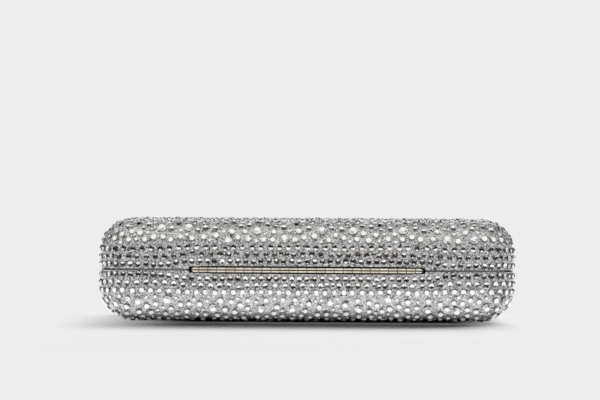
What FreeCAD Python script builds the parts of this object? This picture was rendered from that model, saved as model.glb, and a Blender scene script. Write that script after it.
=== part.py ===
"""Crystal-covered minaudiere: a hard two-part evening case with a piano hinge and a push-button clasp.

The case lies on its broad underside. X runs along its length, the hinge is on the -Y side, the clasp on
the +Y side and Z points up. The origin is the middle of the face that the underside stones rest on. Sizes
are millimetres.
"""
import FreeCAD, Part
import math
import os
import re
from dataclasses import dataclass
from enum import IntEnum, auto

import Sketcher

SIZES = {
    # The case, measured over its covering
    "case_length": 177,
    "case_depth": 93,
    "case_thickness": 41.9,
    "plan_radius": 15,
    "edge_radius": 13.5,
    "fillet_margin": 0.2,
    "seam_gap": 0.4,
    "cover_thickness": 0.8,
    "shell_wall": 1.7,
    "glue_gap": 0.1,
    "seat_gap": 0.05,
    "overrun": 1,
    # The metal rims inside the mouths, and the lip that guides the lid
    "rim_thickness": 1,
    "rim_height": 6.5,
    "lip_thickness": 0.7,
    "lip_height": 2,
    "lip_gap": 0.3,
    "lip_end_gap": 1.5,
    "lining_thickness": 1,
    # The piano hinge
    "knuckle_count": 26,
    "knuckle_pitch": 3.82,
    "knuckle_gap": 0.2,
    "barrel_radius": 1.1,
    "barrel_gap": 0.25,
    "pin_radius": 0.5,
    "pin_gap": 0.05,
    "leaf_thickness": 0.6,
    "leaf_height": 5.5,
    "slot_middle_reach": 1.65,
    "slot_end_reach": 1.3,
    "slot_taper_length": 11.5,
    "slot_end_gap": 0.4,
    # Rivets
    "rivet_radius": 0.6,
    "rivet_gap": 0.05,
    "rivet_head_radius": 1.1,
    "rivet_head_height": 0.4,
    "hinge_rivet_count": 5,
    "hinge_rivet_pitch": 21,
    "hinge_rivet_drop": 3.3,
    # The push button and its bezel
    "button_length": 12,
    "button_height": 4,
    "button_proud": 1.1,
    "button_travel": 1.2,
    "button_gap": 0.3,
    "button_round": 0.5,
    "stem_step": 2,
    "stem_height": 1.6,
    "stem_gap": 0.2,
    "bezel_border": 1.2,
    "bezel_proud": 0.8,
    "bezel_round": 0.35,
    "bezel_margin": 0.3,
    "sleeve_wall": 0.6,
    # The sliding catch, its spring and its housing
    "slide_thickness": 1.6,
    "slide_gap": 0.15,
    "outer_bridge": 1.2,
    "inner_bridge": 1.6,
    "channel_gap": 0.15,
    "housing_wall": 1,
    "ear_length": 3.6,
    "ear_thickness": 1.2,
    "spring_depth": 2.3,
    "spring_end_room": 0.8,
    "spring_thickness": 0.3,
    "spring_width": 1.2,
    # The strike hook on the lid
    "hook_width": 6,
    "hook_thickness": 1,
    "hook_play": 0.25,
    "hook_side_gap": 0.4,
    "hook_swing_gap": 0.6,
    "hook_nose": 1,
    "nose_height": 1.4,
    "nose_land": 0.4,
    "catch_gap": 0.2,
    "well_gap": 0.5,
    "strike_width": 14,
    "strike_height": 5.5,
    "strike_thickness": 0.8,
    "strike_margin": 0.3,
    "strike_rivet_pitch": 10,
    "strike_rivet_drop": 2.2,
    # The large flat-backed stones
    "stone_radius": 1.95,
    "stone_table_radius": 1.15,
    "stone_girdle": 0.45,
    "stone_height": 1.5,
    "stone_glue": 0.05,
    "stone_sides": 8,
    "stone_gap": 0.7,
    "stone_seam_distance": 12,
    "stone_band_length": 14,
    "wall_stone_count": 21,
    "face_stone_count": 31,
    "face_stone_margin": 2.5,
    # The rows of small rose-cut stones beside the seam, which bow round the hinge
    "row_stone_radius": 1.3,
    "row_stone_height": 1.1,
    "row_stone_sides": 6,
    "row_stone_gap": 0.25,
    "row_count": 3,
    "first_row_climb": 1.95,
    "row_step": 3.35,
    "first_row_pitch": 3.25,
    "row_pitch": 3.9,
    "row_bow": 1.6,
    "row_bow_run": 12,
}

# Places of the large stones on the hinge side: along half the length, and up or down half the thickness
HINGE_SIDE_STONE_SHARES = {
    "lid": (
        (-0.70, 0.85), (-0.57, 0.86), (-0.38, 0.59), (-0.24, 0.80), (-0.11, 0.64),
        (0.07, 0.81), (0.22, 0.81), (0.46, 0.82), (0.67, 0.64), (0.80, 0.64),
    ),
    "base": (
        (-0.91, 0.69), (-0.81, 0.65), (-0.67, 0.62), (-0.45, 0.78), (-0.22, 0.80),
        (-0.07, 0.79), (0.11, 0.65), (0.25, 0.79), (0.39, 0.58), (0.58, 0.80),
        (0.72, 0.82), (0.86, 0.75), (0.95, 0.61),
    ),
}
# Step of an even scatter across a surface: the golden section
SCATTER_SHARE = (5**0.5 - 1) / 2
# How closely an edge lies on the level that picks it, as a share of the case's length
EDGE_LEVEL_SHARE = 1e-6

doc = FreeCAD.newDocument("Minaudiere")
sheet = doc.addObject("Spreadsheet::Sheet", "Sizes")
for row, (alias, number) in enumerate(SIZES.items(), 1):
    sheet.set(f"A{row}", alias)
    sheet.set(f"B{row}", str(number))
    sheet.setAlias(f"B{row}", alias)
doc.recompute()
size = {alias: float(sheet.get(alias)) for alias in SIZES}

# Levels and insets that several pieces share, as expressions over the sheet
HALF = "(case_thickness / 2 - seam_gap / 2)"
SEAM = "(stone_height + stone_glue + case_thickness / 2)"
EDGE = (
    "min(edge_radius; plan_radius - fillet_margin;"
    f" {HALF} - rim_height - glue_gap - fillet_margin)"
)
SHELL_OUT = "(cover_thickness + glue_gap)"
SHELL_IN = f"({SHELL_OUT} + shell_wall)"
RIM_OUT = f"({SHELL_IN} + glue_gap)"
HINGE_LENGTH = "(knuckle_count * knuckle_pitch)"


class Point(IntEnum):
    """The sketcher's numbers for the points of a line or an arc, and for the sketch's own origin."""

    START = auto()
    END = auto()
    CENTRE = auto()
    ORIGIN = START


@dataclass(frozen=True)
class Half:
    """One half of the case: its name, its way up, its mouth's level and its rim's inner inset."""

    name: str
    up: int
    mouth: str
    rim_in: str

    def level(self, drop):
        """Gives the level that lies a drop away from the mouth, into this half."""
        return f"({self.mouth} {'+' if self.up > 0 else '-'} ({drop}))"


BASE = Half("base", -1, f"({SEAM} - seam_gap / 2)", f"({RIM_OUT} + rim_thickness + lip_thickness)")
LID = Half("lid", 1, f"({SEAM} + seam_gap / 2)", f"({RIM_OUT} + rim_thickness - lip_gap)")

# The button's surround, stem, slide and spring follow the button
BEZEL_LENGTH = "(button_length + 2 * (button_gap + bezel_border))"
BEZEL_HEIGHT = "(button_height + 2 * (button_gap + bezel_border))"
HALF_STEM = "(button_length / 2 - stem_step)"
HALF_SLIDE = "(button_length / 2)"
HALF_SPRING = f"({HALF_SLIDE} - spring_end_room)"
# The clasp from the rim's inner face inwards, and from the button's middle downwards
CLASP_LEVEL = f"({BASE.mouth} - bezel_margin - {BEZEL_HEIGHT} / 2)"
RIM_FACE = f"(case_depth / 2 - {BASE.rim_in})"
SLIDE_OUT = f"({RIM_FACE} - slide_gap)"
CATCH_OUT = f"({SLIDE_OUT} - outer_bridge)"
HOOK_BACK = f"({CATCH_OUT} - button_travel - hook_play)"
HOOK_FRONT = f"({HOOK_BACK} - hook_thickness)"
CATCH_IN = f"({HOOK_FRONT} - catch_gap)"
SLIDE_IN = f"({CATCH_IN} - inner_bridge)"
SPRING_SEAT = f"({SLIDE_IN} - spring_depth)"
SLIDE_LOW = f"({CLASP_LEVEL} - slide_thickness / 2)"
NOSE_TOP = f"({SLIDE_LOW} - catch_gap)"
HOOK_LOW = f"({NOSE_TOP} - nose_height)"
HOUSING_LOW = f"({HOOK_LOW} - well_gap - housing_wall)"
HOUSING_TOP = f"({CLASP_LEVEL} + slide_thickness / 2 + channel_gap + housing_wall)"
HOUSING_SEAT = f"({RIM_FACE} - seat_gap)"
HOUSING_HALF_WIDTH = f"({HALF_SLIDE} + channel_gap + housing_wall)"
HOUSING_RIVET_PITCH = f"(2 * {HOUSING_HALF_WIDTH} + ear_length)"
STRIKE_SEAT = f"(case_depth / 2 - {LID.rim_in} - seat_gap)"
STRIKE_LOW = LID.level("strike_margin")
STRIKE_TOP = LID.level("strike_margin + strike_height")
STRIKE_RIVET_LEVEL = f"({STRIKE_TOP} - strike_rivet_drop)"


def sized(text):
    """Turns each word that names a size into its cell of the sheet."""
    return re.sub(r"[a-z_]+", lambda word: f"Sizes.{word[0]}" if word[0] in SIZES else word[0], text)


def value(text):
    """Works an expression over the sheet out as a number, so that a sketch starts where it will end."""
    return float(sheet.evalExpression(sized(text)))


def bind(thing, name, text):
    """Binds a property or a constraint to an expression over the sheet."""
    thing.setExpression(name, sized(text))


def new_body(label):
    """Starts a body whose label is the piece's name."""
    body = doc.addObject("PartDesign::Body", label)
    body.Label = label
    return body


def origin_feature(body, role):
    """Finds one of the body's own origin planes or axes."""
    return next(feature for feature in body.Origin.OriginFeatures if feature.Role == role)


def sketch_at(body, name, role, level, rise="0"):
    """Puts a sketch on an origin plane, moved to a level along the plane's normal and up by a rise."""
    made = body.newObject("Sketcher::SketchObject", name)
    made.AttachmentSupport = (origin_feature(body, role), [""])
    made.MapMode = "FlatFace"
    towards = "-" if role == "XZ_Plane" else ""
    bind(made, "AttachmentOffset.Base.z", f"{towards}({level})")
    bind(made, "AttachmentOffset.Base.y", rise)
    return made


def dimension(sketch, constraint, text):
    """Adds a constraint whose value is an expression."""
    index = sketch.addConstraint(constraint)
    name = f"size_{index}"
    sketch.renameConstraint(index, name)
    bind(sketch, f"Constraints.{name}", text)


def place_point(sketch, geometry, point, x, y):
    """Fixes one point of a sketch by its distances from the sketch's origin."""
    for kind, text in (("DistanceX", x), ("DistanceY", y)):
        constraint = Sketcher.Constraint(kind, -1, Point.ORIGIN, geometry, point, value(text))
        dimension(sketch, constraint, text)


def polygon(sketch, corners):
    """Draws a closed outline of straight lines through corners given as expressions."""
    first = sketch.GeometryCount
    count = len(corners)
    spots = [FreeCAD.Vector(value(x), value(y), 0) for x, y in corners]
    for i in range(count):
        sketch.addGeometry(Part.LineSegment(spots[i], spots[(i + 1) % count]), False)
    for i in range(count):
        after = first + (i + 1) % count
        sketch.addConstraint(Sketcher.Constraint("Coincident", first + i, Point.END, after, Point.START))
    for i, (x, y) in enumerate(corners):
        place_point(sketch, first + i, Point.START, x, y)


def rectangle(sketch, left, right, low, high):
    """Draws a rectangle between four expressions."""
    polygon(sketch, ((left, low), (right, low), (right, high), (left, high)))


def circle(sketch, x, y, radius):
    """Draws a circle about a point."""
    centre = FreeCAD.Vector(value(x), value(y), 0)
    round_line = Part.Circle(centre, FreeCAD.Vector(0, 0, 1), value(radius))
    index = sketch.addGeometry(round_line, False)
    place_point(sketch, index, Point.CENTRE, x, y)
    dimension(sketch, Sketcher.Constraint("Radius", index, value(radius)), radius)


def arc_loop(sketch, runs, arcs, radius):
    """Adds lines and arcs of one radius that follow each other round a loop, joined smoothly."""
    first = sketch.GeometryCount
    count = len(runs)
    for start, end in runs:
        sketch.addGeometry(Part.LineSegment(FreeCAD.Vector(*start, 0), FreeCAD.Vector(*end, 0)), False)
    for centre, start, end in arcs:
        whole = Part.Circle(FreeCAD.Vector(*centre, 0), FreeCAD.Vector(0, 0, 1), radius)
        sketch.addGeometry(Part.ArcOfCircle(whole, math.radians(start), math.radians(end)), False)
    for i in range(count):
        arc = first + count + i
        after = first + (i + 1) % count
        sketch.addConstraint(Sketcher.Constraint("Tangent", first + i, Point.END, arc, Point.START))
        sketch.addConstraint(Sketcher.Constraint("Tangent", arc, Point.END, after, Point.START))
    for i in range(count - 1):
        sketch.addConstraint(Sketcher.Constraint("Equal", first + count + i, first + count + i + 1))
    return first, first + count


def plan_outline(sketch, inset):
    """Draws the case's plan outline an inset inside the covering."""
    length = f"(case_length - 2 * {inset})"
    depth = f"(case_depth - 2 * {inset})"
    radius = f"(plan_radius - {inset})"
    corner = value(radius)
    far_x = value(length) / 2
    far_y = value(depth) / 2
    x = far_x - corner
    y = far_y - corner
    line, arc = arc_loop(
        sketch,
        (
            ((-x, -far_y), (x, -far_y)),
            ((far_x, -y), (far_x, y)),
            ((x, far_y), (-x, far_y)),
            ((-far_x, y), (-far_x, -y)),
        ),
        (((x, -y), -90, 0), ((x, y), 0, 90), ((-x, y), 90, 180), ((-x, -y), 180, 270)),
        corner,
    )
    for i in (0, 2):
        sketch.addConstraint(Sketcher.Constraint("Horizontal", line + i))
        sketch.addConstraint(Sketcher.Constraint("Vertical", line + i + 1))
    middles = (arc, Point.CENTRE, arc + 2, Point.CENTRE, -1, Point.ORIGIN)
    sketch.addConstraint(Sketcher.Constraint("Symmetric", *middles))
    ends = (line + 3, Point.START, line + 1, Point.START, value(length))
    dimension(sketch, Sketcher.Constraint("DistanceX", *ends), length)
    sides = (line, Point.START, line + 2, Point.START, value(depth))
    dimension(sketch, Sketcher.Constraint("DistanceY", *sides), depth)
    dimension(sketch, Sketcher.Constraint("Radius", arc, corner), radius)


def pill(sketch, length, height):
    """Draws a long shape with half-round ends about the sketch's origin."""
    radius = f"({height} / 2)"
    centre = f"({length} / 2 - {radius})"
    end = value(radius)
    x = value(centre)
    arc = arc_loop(
        sketch,
        (((-x, -end), (x, -end)), ((x, end), (-x, end))),
        (((x, 0), -90, 90), ((-x, 0), 90, 270)),
        end,
    )[1]
    dimension(sketch, Sketcher.Constraint("Radius", arc, end), radius)
    place_point(sketch, arc, Point.CENTRE, centre, "0")
    place_point(sketch, arc + 1, Point.CENTRE, f"-{centre}", "0")


def pad(body, profile, name, length, reverse=False):
    """Raises a sketch along its normal, or against it."""
    made = body.newObject("PartDesign::Pad", name)
    made.Profile = profile
    made.Reversed = reverse
    bind(made, "Length", length)
    doc.recompute()
    return made


def pocket(body, profile, name, depth, reverse=False):
    """Cuts a sketch into the body against its normal, or along it, and makes sure that it cuts."""
    before = body.Shape.Volume
    made = body.newObject("PartDesign::Pocket", name)
    made.Profile = profile
    made.Reversed = reverse
    bind(made, "Length", depth)
    doc.recompute()
    if not made.Shape.Volume < before:
        raise RuntimeError(f"{body.Label}: {name} cuts nothing")
    return made


def row_along_x(body, feature, name, count, pitch):
    """Repeats a feature along X."""
    made = body.newObject("PartDesign::LinearPattern", name)
    made.Originals = [feature]
    made.Direction = (origin_feature(body, "X_Axis"), [""])
    bind(made, "Length", f"{pitch} * ({count} - 1)")
    bind(made, "Occurrences", count)
    body.Tip = made
    doc.recompute()
    return made


def edges_on(shape, axis, level):
    """Names the edges of a shape that lie wholly on one level of X, Y or Z."""
    near = EDGE_LEVEL_SHARE * size["case_length"]
    found = []
    for number, edge in enumerate(shape.Edges, 1):
        box = edge.BoundBox
        ends = (getattr(box, f"{axis}Min"), getattr(box, f"{axis}Max"))
        if all(abs(end - level) < near for end in ends):
            found.append(f"Edge{number}")
    return found


def round_edges(body, feature, name, edges, radius):
    """Rounds the named edges of a feature."""
    made = body.newObject("PartDesign::Fillet", name)
    made.Base = (feature, edges)
    bind(made, "Radius", radius)
    doc.recompute()
    return made


def inwards(side, inset):
    """Gives the Y level that lies an inset inside the covering, on the hinge side or the clasp side."""
    return f"(-case_depth / 2 + ({inset}))" if side == "hinge" else f"(case_depth / 2 - ({inset}))"


def rounded_block(half, label, inset, drop="0", extra="0"):
    """Makes a solid half of the case: the plan outline raised from the mouth, with its far edge rounded."""
    body = new_body(label)
    outline = sketch_at(body, "Outline", "XY_Plane", half.level(f"{drop} - {extra}"))
    plan_outline(outline, inset)
    block = pad(body, outline, "Block", f"{HALF} - {drop} - {inset} + {extra}", reverse=half.up < 0)
    box = block.Shape.BoundBox
    far_edges = edges_on(block.Shape, "Z", box.ZMax if half.up > 0 else box.ZMin)
    round_edges(body, block, "RoundedEdge", far_edges, f"{EDGE} - {inset}")
    return body


def hinge_slot(body, reach):
    """Cuts the tapered slot for the hinge barrel into the hinge-side wall."""
    end = f"({HINGE_LENGTH} / 2 + slot_end_gap)"
    middle = f"({end} - slot_taper_length)"
    profile = sketch_at(body, "HingeSlotOutline", "XZ_Plane", inwards("hinge", "-overrun"))
    corners = []
    for way in ("-", "+"):
        row = [
            (f"-{end}", f"{SEAM} {way} slot_end_reach"),
            (f"-{middle}", f"{SEAM} {way} slot_middle_reach"),
            (middle, f"{SEAM} {way} slot_middle_reach"),
            (end, f"{SEAM} {way} slot_end_reach"),
        ]
        corners += row if way == "-" else row[::-1]
    polygon(profile, corners)
    pocket(body, profile, "HingeSlot", f"{reach} + 2 * overrun")


def clasp_opening(body, reach):
    """Cuts the opening for the bezel's sleeve into the clasp-side wall."""
    profile = sketch_at(body, "ClaspOpeningOutline", "XZ_Plane", inwards("clasp", "-overrun"), CLASP_LEVEL)
    around = "2 * (button_gap + sleeve_wall + seat_gap)"
    pill(profile, f"(button_length + {around})", f"(button_height + {around})")
    pocket(body, profile, "ClaspOpening", f"{reach} + 2 * overrun", reverse=True)


def rivet_holes(body, side, start, end, level, count, pitch):
    """Drills a row of rivet holes through a piece, from one inset to another."""
    profile = sketch_at(body, "RivetHoleOutline", "XZ_Plane", inwards(side, f"{start} - overrun"))
    circle(profile, f"-{pitch} * ({count} - 1) / 2", level, "rivet_radius + rivet_gap")
    depth = f"{end} - {start} + 2 * overrun"
    hole = pocket(body, profile, "RivetHole", depth, reverse=side == "clasp")
    row_along_x(body, hole, "RivetHoles", count, pitch)


def rivets(label, side, start, end, level, count, pitch):
    """Makes a row of rivets: a shank through the pieces that it joins, and a domed head inside the case."""
    body = new_body(label)
    profile = sketch_at(body, "RivetOutline", "XY_Plane", level)
    bind(profile, "AttachmentOffset.Base.x", f"-{pitch} * ({count} - 1) / 2")
    polygon(profile, (
        ("0", inwards(side, start)),
        ("rivet_radius", inwards(side, start)),
        ("rivet_radius", inwards(side, end)),
        ("rivet_head_radius", inwards(side, end)),
        ("rivet_head_radius", inwards(side, f"{end} + rivet_head_height / 2")),
        ("rivet_head_radius / 2", inwards(side, f"{end} + rivet_head_height")),
        ("0", inwards(side, f"{end} + rivet_head_height")),
    ))
    turned = body.newObject("PartDesign::Revolution", "Rivet")
    turned.Profile = profile
    turned.ReferenceAxis = (profile, ["V_Axis"])
    doc.recompute()
    row_along_x(body, turned, "Rivets", count, pitch)
    return body


def tray(half, label, inset, wall, drop="0", openings=True):
    """Makes a rounded tray, such as a shell, a covering or a lining, cut open where metal passes."""
    outer = rounded_block(half, f"{label}_block", inset, drop)
    if openings:
        hinge_slot(outer, f"{inset} + {wall}")
        if half is BASE:
            clasp_opening(outer, f"{inset} + {wall}")
    hollow = rounded_block(half, f"{label}_hollow", f"({inset} + {wall})", drop, "overrun")
    made = doc.addObject("Part::Cut", label)
    made.Label = label
    made.Base = outer
    made.Tool = hollow
    doc.recompute()
    return made


def outline_ring(body, name, level, outer, inner):
    """Sketches a closed band that follows the case's plan between two insets."""
    profile = sketch_at(body, name, "XY_Plane", level)
    for inset in (outer, inner):
        plan_outline(profile, inset)
    return profile


def hinge_rivet_level(half):
    """Gives the level of the rivets that hold a hinge leaf."""
    return half.level("hinge_rivet_drop")


def web_notch(body, half):
    """Cuts the rim back where the hinge leaf's web passes over it."""
    profile = sketch_at(body, "WebNotchOutline", "XZ_Plane", inwards("hinge", f"{RIM_OUT} - overrun"))
    end = f"({HINGE_LENGTH} / 2 + slot_end_gap)"
    rectangle(profile, f"-{end}", end, half.level("-overrun"), half.level("leaf_thickness + seat_gap"))
    pocket(body, profile, "WebNotch", f"{half.rim_in} - {RIM_OUT} + 2 * overrun")


def base_rim():
    """Makes the base's metal rim, with a lip inside its mouth that the lid drops over."""
    body = new_body("base_rim")
    band = outline_ring(body, "BandOutline", BASE.mouth, RIM_OUT, BASE.rim_in)
    pad(body, band, "Band", "rim_height", reverse=True)
    lip = outline_ring(body, "LipOutline", BASE.mouth, f"({RIM_OUT} + rim_thickness)", BASE.rim_in)
    pad(body, lip, "Lip", "lip_height")
    gaps = sketch_at(body, "LipGapOutline", "XY_Plane", BASE.mouth)
    for side, width in (("hinge", HINGE_LENGTH), ("clasp", "strike_width")):
        end = f"({width} / 2 + lip_end_gap)"
        rectangle(gaps, f"-{end}", end, inwards(side, RIM_OUT), inwards(side, f"{BASE.rim_in} + overrun"))
    pocket(body, gaps, "LipGaps", "lip_height + overrun", reverse=True)
    web_notch(body, BASE)
    stem = sketch_at(body, "StemHoleOutline", "XZ_Plane", inwards("clasp", f"{RIM_OUT} - overrun"))
    reach = f"({HALF_STEM} + stem_gap)"
    rise = "(stem_height / 2 + stem_gap)"
    rectangle(stem, f"-{reach}", reach, f"{CLASP_LEVEL} - {rise}", f"{CLASP_LEVEL} + {rise}")
    pocket(body, stem, "StemHole", f"{BASE.rim_in} - {RIM_OUT} + 2 * overrun", reverse=True)
    rivet_holes(body, "hinge", RIM_OUT, BASE.rim_in, hinge_rivet_level(BASE), "hinge_rivet_count",
                "hinge_rivet_pitch")
    rivet_holes(body, "clasp", RIM_OUT, BASE.rim_in, CLASP_LEVEL, "2", HOUSING_RIVET_PITCH)
    return body


def lid_rim():
    """Makes the lid's metal rim, which drops outside the base's lip."""
    body = new_body("lid_rim")
    band = outline_ring(body, "BandOutline", LID.mouth, RIM_OUT, LID.rim_in)
    pad(body, band, "Band", "rim_height")
    web_notch(body, LID)
    rivet_holes(body, "hinge", RIM_OUT, LID.rim_in, hinge_rivet_level(LID), "hinge_rivet_count",
                "hinge_rivet_pitch")
    rivet_holes(body, "clasp", RIM_OUT, LID.rim_in, STRIKE_RIVET_LEVEL, "2", "strike_rivet_pitch")
    return body


def hinge_leaf(half):
    """Makes one hinge leaf: a plate inside the rim, a web through the seam and every other knuckle."""
    body = new_body(f"{half.name}_hinge_leaf")
    start = f"(-{HINGE_LENGTH} / 2)"
    own = "0" if half is BASE else "knuckle_pitch"
    other = "knuckle_pitch" if half is BASE else "0"
    face = f"({half.rim_in} + seat_gap)"
    inner = f"({face} + leaf_thickness)"
    web_start = "((barrel_radius + pin_radius + pin_gap) / 2)"
    profile = sketch_at(body, "LeafOutline", "YZ_Plane", start)
    polygon(profile, (
        (inwards("hinge", web_start), half.mouth),
        (inwards("hinge", inner), half.mouth),
        (inwards("hinge", inner), half.level("leaf_height")),
        (inwards("hinge", face), half.level("leaf_height")),
        (inwards("hinge", face), half.level("leaf_thickness")),
        (inwards("hinge", web_start), half.level("leaf_thickness")),
    ))
    pad(body, profile, "Leaf", HINGE_LENGTH)
    space = sketch_at(body, "KnuckleSpaceOutline", "YZ_Plane", f"{start} + {other} - knuckle_gap / 2")
    circle(space, inwards("hinge", "0"), SEAM, "barrel_radius + barrel_gap")
    cut = pocket(body, space, "KnuckleSpace", "knuckle_pitch + knuckle_gap", reverse=True)
    row_along_x(body, cut, "KnuckleSpaces", "(knuckle_count / 2)", "(2 * knuckle_pitch)")
    ring = sketch_at(body, "KnuckleOutline", "YZ_Plane", f"{start} + {own} + knuckle_gap / 2")
    circle(ring, inwards("hinge", "0"), SEAM, "barrel_radius")
    knuckle = pad(body, ring, "Knuckle", "knuckle_pitch - knuckle_gap")
    row_along_x(body, knuckle, "Knuckles", "(knuckle_count / 2)", "(2 * knuckle_pitch)")
    bore = sketch_at(body, "BoreOutline", "YZ_Plane", f"{start} - overrun")
    circle(bore, inwards("hinge", "0"), SEAM, "pin_radius + pin_gap")
    pocket(body, bore, "Bore", f"{HINGE_LENGTH} + 2 * overrun", reverse=True)
    rivet_holes(body, "hinge", face, inner, hinge_rivet_level(half), "hinge_rivet_count",
                "hinge_rivet_pitch")
    return body


def hinge_rivets(half):
    """Makes the rivets that hold a hinge leaf to its rim."""
    end = f"({half.rim_in} + seat_gap + leaf_thickness)"
    return rivets(f"{half.name}_hinge_rivets", "hinge", RIM_OUT, end, hinge_rivet_level(half),
                  "hinge_rivet_count", "hinge_rivet_pitch")


def hinge_pin():
    """Makes the pin that runs through all the knuckles."""
    body = new_body("hinge_pin")
    profile = sketch_at(body, "PinOutline", "YZ_Plane", f"(knuckle_gap - {HINGE_LENGTH}) / 2")
    circle(profile, inwards("hinge", "0"), SEAM, "pin_radius")
    pad(body, profile, "Pin", f"{HINGE_LENGTH} - knuckle_gap")
    return body


def clasp_button():
    """Makes the push button: a cap with a rounded face, and a flat stem through the rim to the slide."""
    body = new_body("clasp_button")
    cap_end = inwards("clasp", f"{RIM_OUT} - button_travel - button_gap")
    face = sketch_at(body, "CapOutline", "XZ_Plane", inwards("clasp", "-button_proud"), CLASP_LEVEL)
    pill(face, "button_length", "button_height")
    cap = pad(body, face, "Cap", f"{inwards('clasp', '-button_proud')} - {cap_end}")
    rim = edges_on(cap.Shape, "Y", cap.Shape.BoundBox.YMax)
    round_edges(body, cap, "CapRound", rim, "button_round")
    stem = sketch_at(body, "StemOutline", "XZ_Plane", cap_end)
    rise = "stem_height / 2"
    rectangle(stem, f"-{HALF_STEM}", HALF_STEM, f"{CLASP_LEVEL} - {rise}", f"{CLASP_LEVEL} + {rise}")
    pad(body, stem, "Stem", f"{cap_end} - {SLIDE_OUT}")
    return body


def clasp_bezel():
    """Makes the button's surround: a rounded flange on the covering and a sleeve through the wall."""
    body = new_body("clasp_bezel")
    inner = ("(button_length + 2 * button_gap)", "(button_height + 2 * button_gap)")
    sleeve = tuple(f"({reach} + 2 * sleeve_wall)" for reach in inner)
    flange = sketch_at(body, "FlangeOutline", "XZ_Plane", inwards("clasp", "-bezel_proud"), CLASP_LEVEL)
    pill(flange, BEZEL_LENGTH, BEZEL_HEIGHT)
    pill(flange, *inner)
    ring = pad(body, flange, "Flange", "bezel_proud")
    front = edges_on(ring.Shape, "Y", ring.Shape.BoundBox.YMax)
    round_edges(body, ring, "FlangeRound", front, "bezel_round")
    tube = sketch_at(body, "SleeveOutline", "XZ_Plane", inwards("clasp", "0"), CLASP_LEVEL)
    pill(tube, *sleeve)
    pill(tube, *inner)
    pad(body, tube, "Sleeve", SHELL_IN)
    return body


def clasp_slide():
    """Makes the sliding catch: a flat plate with a window that the strike hook drops through."""
    body = new_body("clasp_slide")
    profile = sketch_at(body, "SlideOutline", "XY_Plane", SLIDE_LOW)
    rectangle(profile, f"-{HALF_SLIDE}", HALF_SLIDE, SLIDE_IN, SLIDE_OUT)
    window = "(hook_width / 2 + hook_side_gap)"
    rectangle(profile, f"-{window}", window, CATCH_IN, CATCH_OUT)
    pad(body, profile, "Slide", "slide_thickness")
    return body


def clasp_housing():
    """Makes the catch's housing: a block with ears, a channel for the slide and a well for the hook."""
    body = new_body("clasp_housing")
    wide = f"({HOUSING_HALF_WIDTH} + ear_length)"
    back = f"({SPRING_SEAT} - housing_wall)"
    ear = f"({HOUSING_SEAT} - ear_thickness)"
    plan = sketch_at(body, "HousingOutline", "XY_Plane", HOUSING_LOW)
    polygon(plan, (
        (f"-{HOUSING_HALF_WIDTH}", back),
        (HOUSING_HALF_WIDTH, back),
        (HOUSING_HALF_WIDTH, ear),
        (wide, ear),
        (wide, HOUSING_SEAT),
        (f"-{wide}", HOUSING_SEAT),
        (f"-{wide}", ear),
        (f"-{HOUSING_HALF_WIDTH}", ear),
    ))
    pad(body, plan, "Housing", f"{HOUSING_TOP} - {HOUSING_LOW}")
    channel = sketch_at(body, "ChannelOutline", "XZ_Plane", f"{HOUSING_SEAT} + overrun")
    reach = f"({HALF_SLIDE} + channel_gap)"
    rise = "(slide_thickness / 2 + channel_gap)"
    rectangle(channel, f"-{reach}", reach, f"{CLASP_LEVEL} - {rise}", f"{CLASP_LEVEL} + {rise}")
    pocket(body, channel, "Channel", f"{HOUSING_SEAT} + overrun - {SPRING_SEAT}", reverse=True)
    well = sketch_at(body, "WellOutline", "XY_Plane", f"{HOUSING_TOP} + overrun")
    window = "(hook_width / 2 + hook_side_gap)"
    rectangle(well, f"-{window}", window, f"{HOOK_FRONT} - hook_nose - hook_swing_gap",
              f"{HOOK_BACK} + hook_swing_gap")
    pocket(body, well, "Well", f"{HOUSING_TOP} + overrun - {HOUSING_LOW} - housing_wall")
    rivet_holes(body, "clasp", f"(case_depth / 2 - {HOUSING_SEAT})", f"(case_depth / 2 - {ear})",
                CLASP_LEVEL, "2", HOUSING_RIVET_PITCH)
    return body


def clasp_leaf_spring():
    """Makes the bowed leaf spring that pushes the slide back under the strike hook."""
    body = new_body("clasp_leaf_spring")
    rise = "(spring_depth - spring_thickness - 2 * seat_gap)"
    inner = f"(({HALF_SPRING} * {HALF_SPRING} + {rise} * {rise}) / (2 * {rise}))"
    outer = f"({inner} + spring_thickness)"
    crown = f"({SLIDE_IN} - seat_gap)"
    profile = sketch_at(body, "SpringOutline", "XY_Plane", f"{CLASP_LEVEL} - spring_width / 2")
    centre = f"({crown} - {outer})"
    middle = FreeCAD.Vector(0, value(centre), 0)
    opening = math.asin(value(HALF_SPRING) / value(inner))
    for radius in (inner, outer):
        bow = Part.Circle(middle, FreeCAD.Vector(0, 0, 1), value(radius))
        reach = Part.ArcOfCircle(bow, math.pi / 2 - opening, math.pi / 2 + opening)
        arc = profile.addGeometry(reach, False)
        place_point(profile, arc, Point.CENTRE, "0", centre)
        place_point(profile, arc, Point.START, f"{HALF_SPRING} * {radius} / {inner}",
                    f"{centre} + ({SPRING_SEAT} + seat_gap - {centre}) * {radius} / {inner}")
        profile.addConstraint(Sketcher.Constraint("Horizontal", arc, Point.START, arc, Point.END))
    for end in (Point.START, Point.END):
        spots = [profile.getPoint(arc, end) for arc in range(2)]
        line = profile.addGeometry(Part.LineSegment(*spots), False)
        for arc, own in enumerate((Point.START, Point.END)):
            profile.addConstraint(Sketcher.Constraint("Coincident", line, own, arc, end))
    pad(body, profile, "Spring", "spring_width")
    return body


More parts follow.
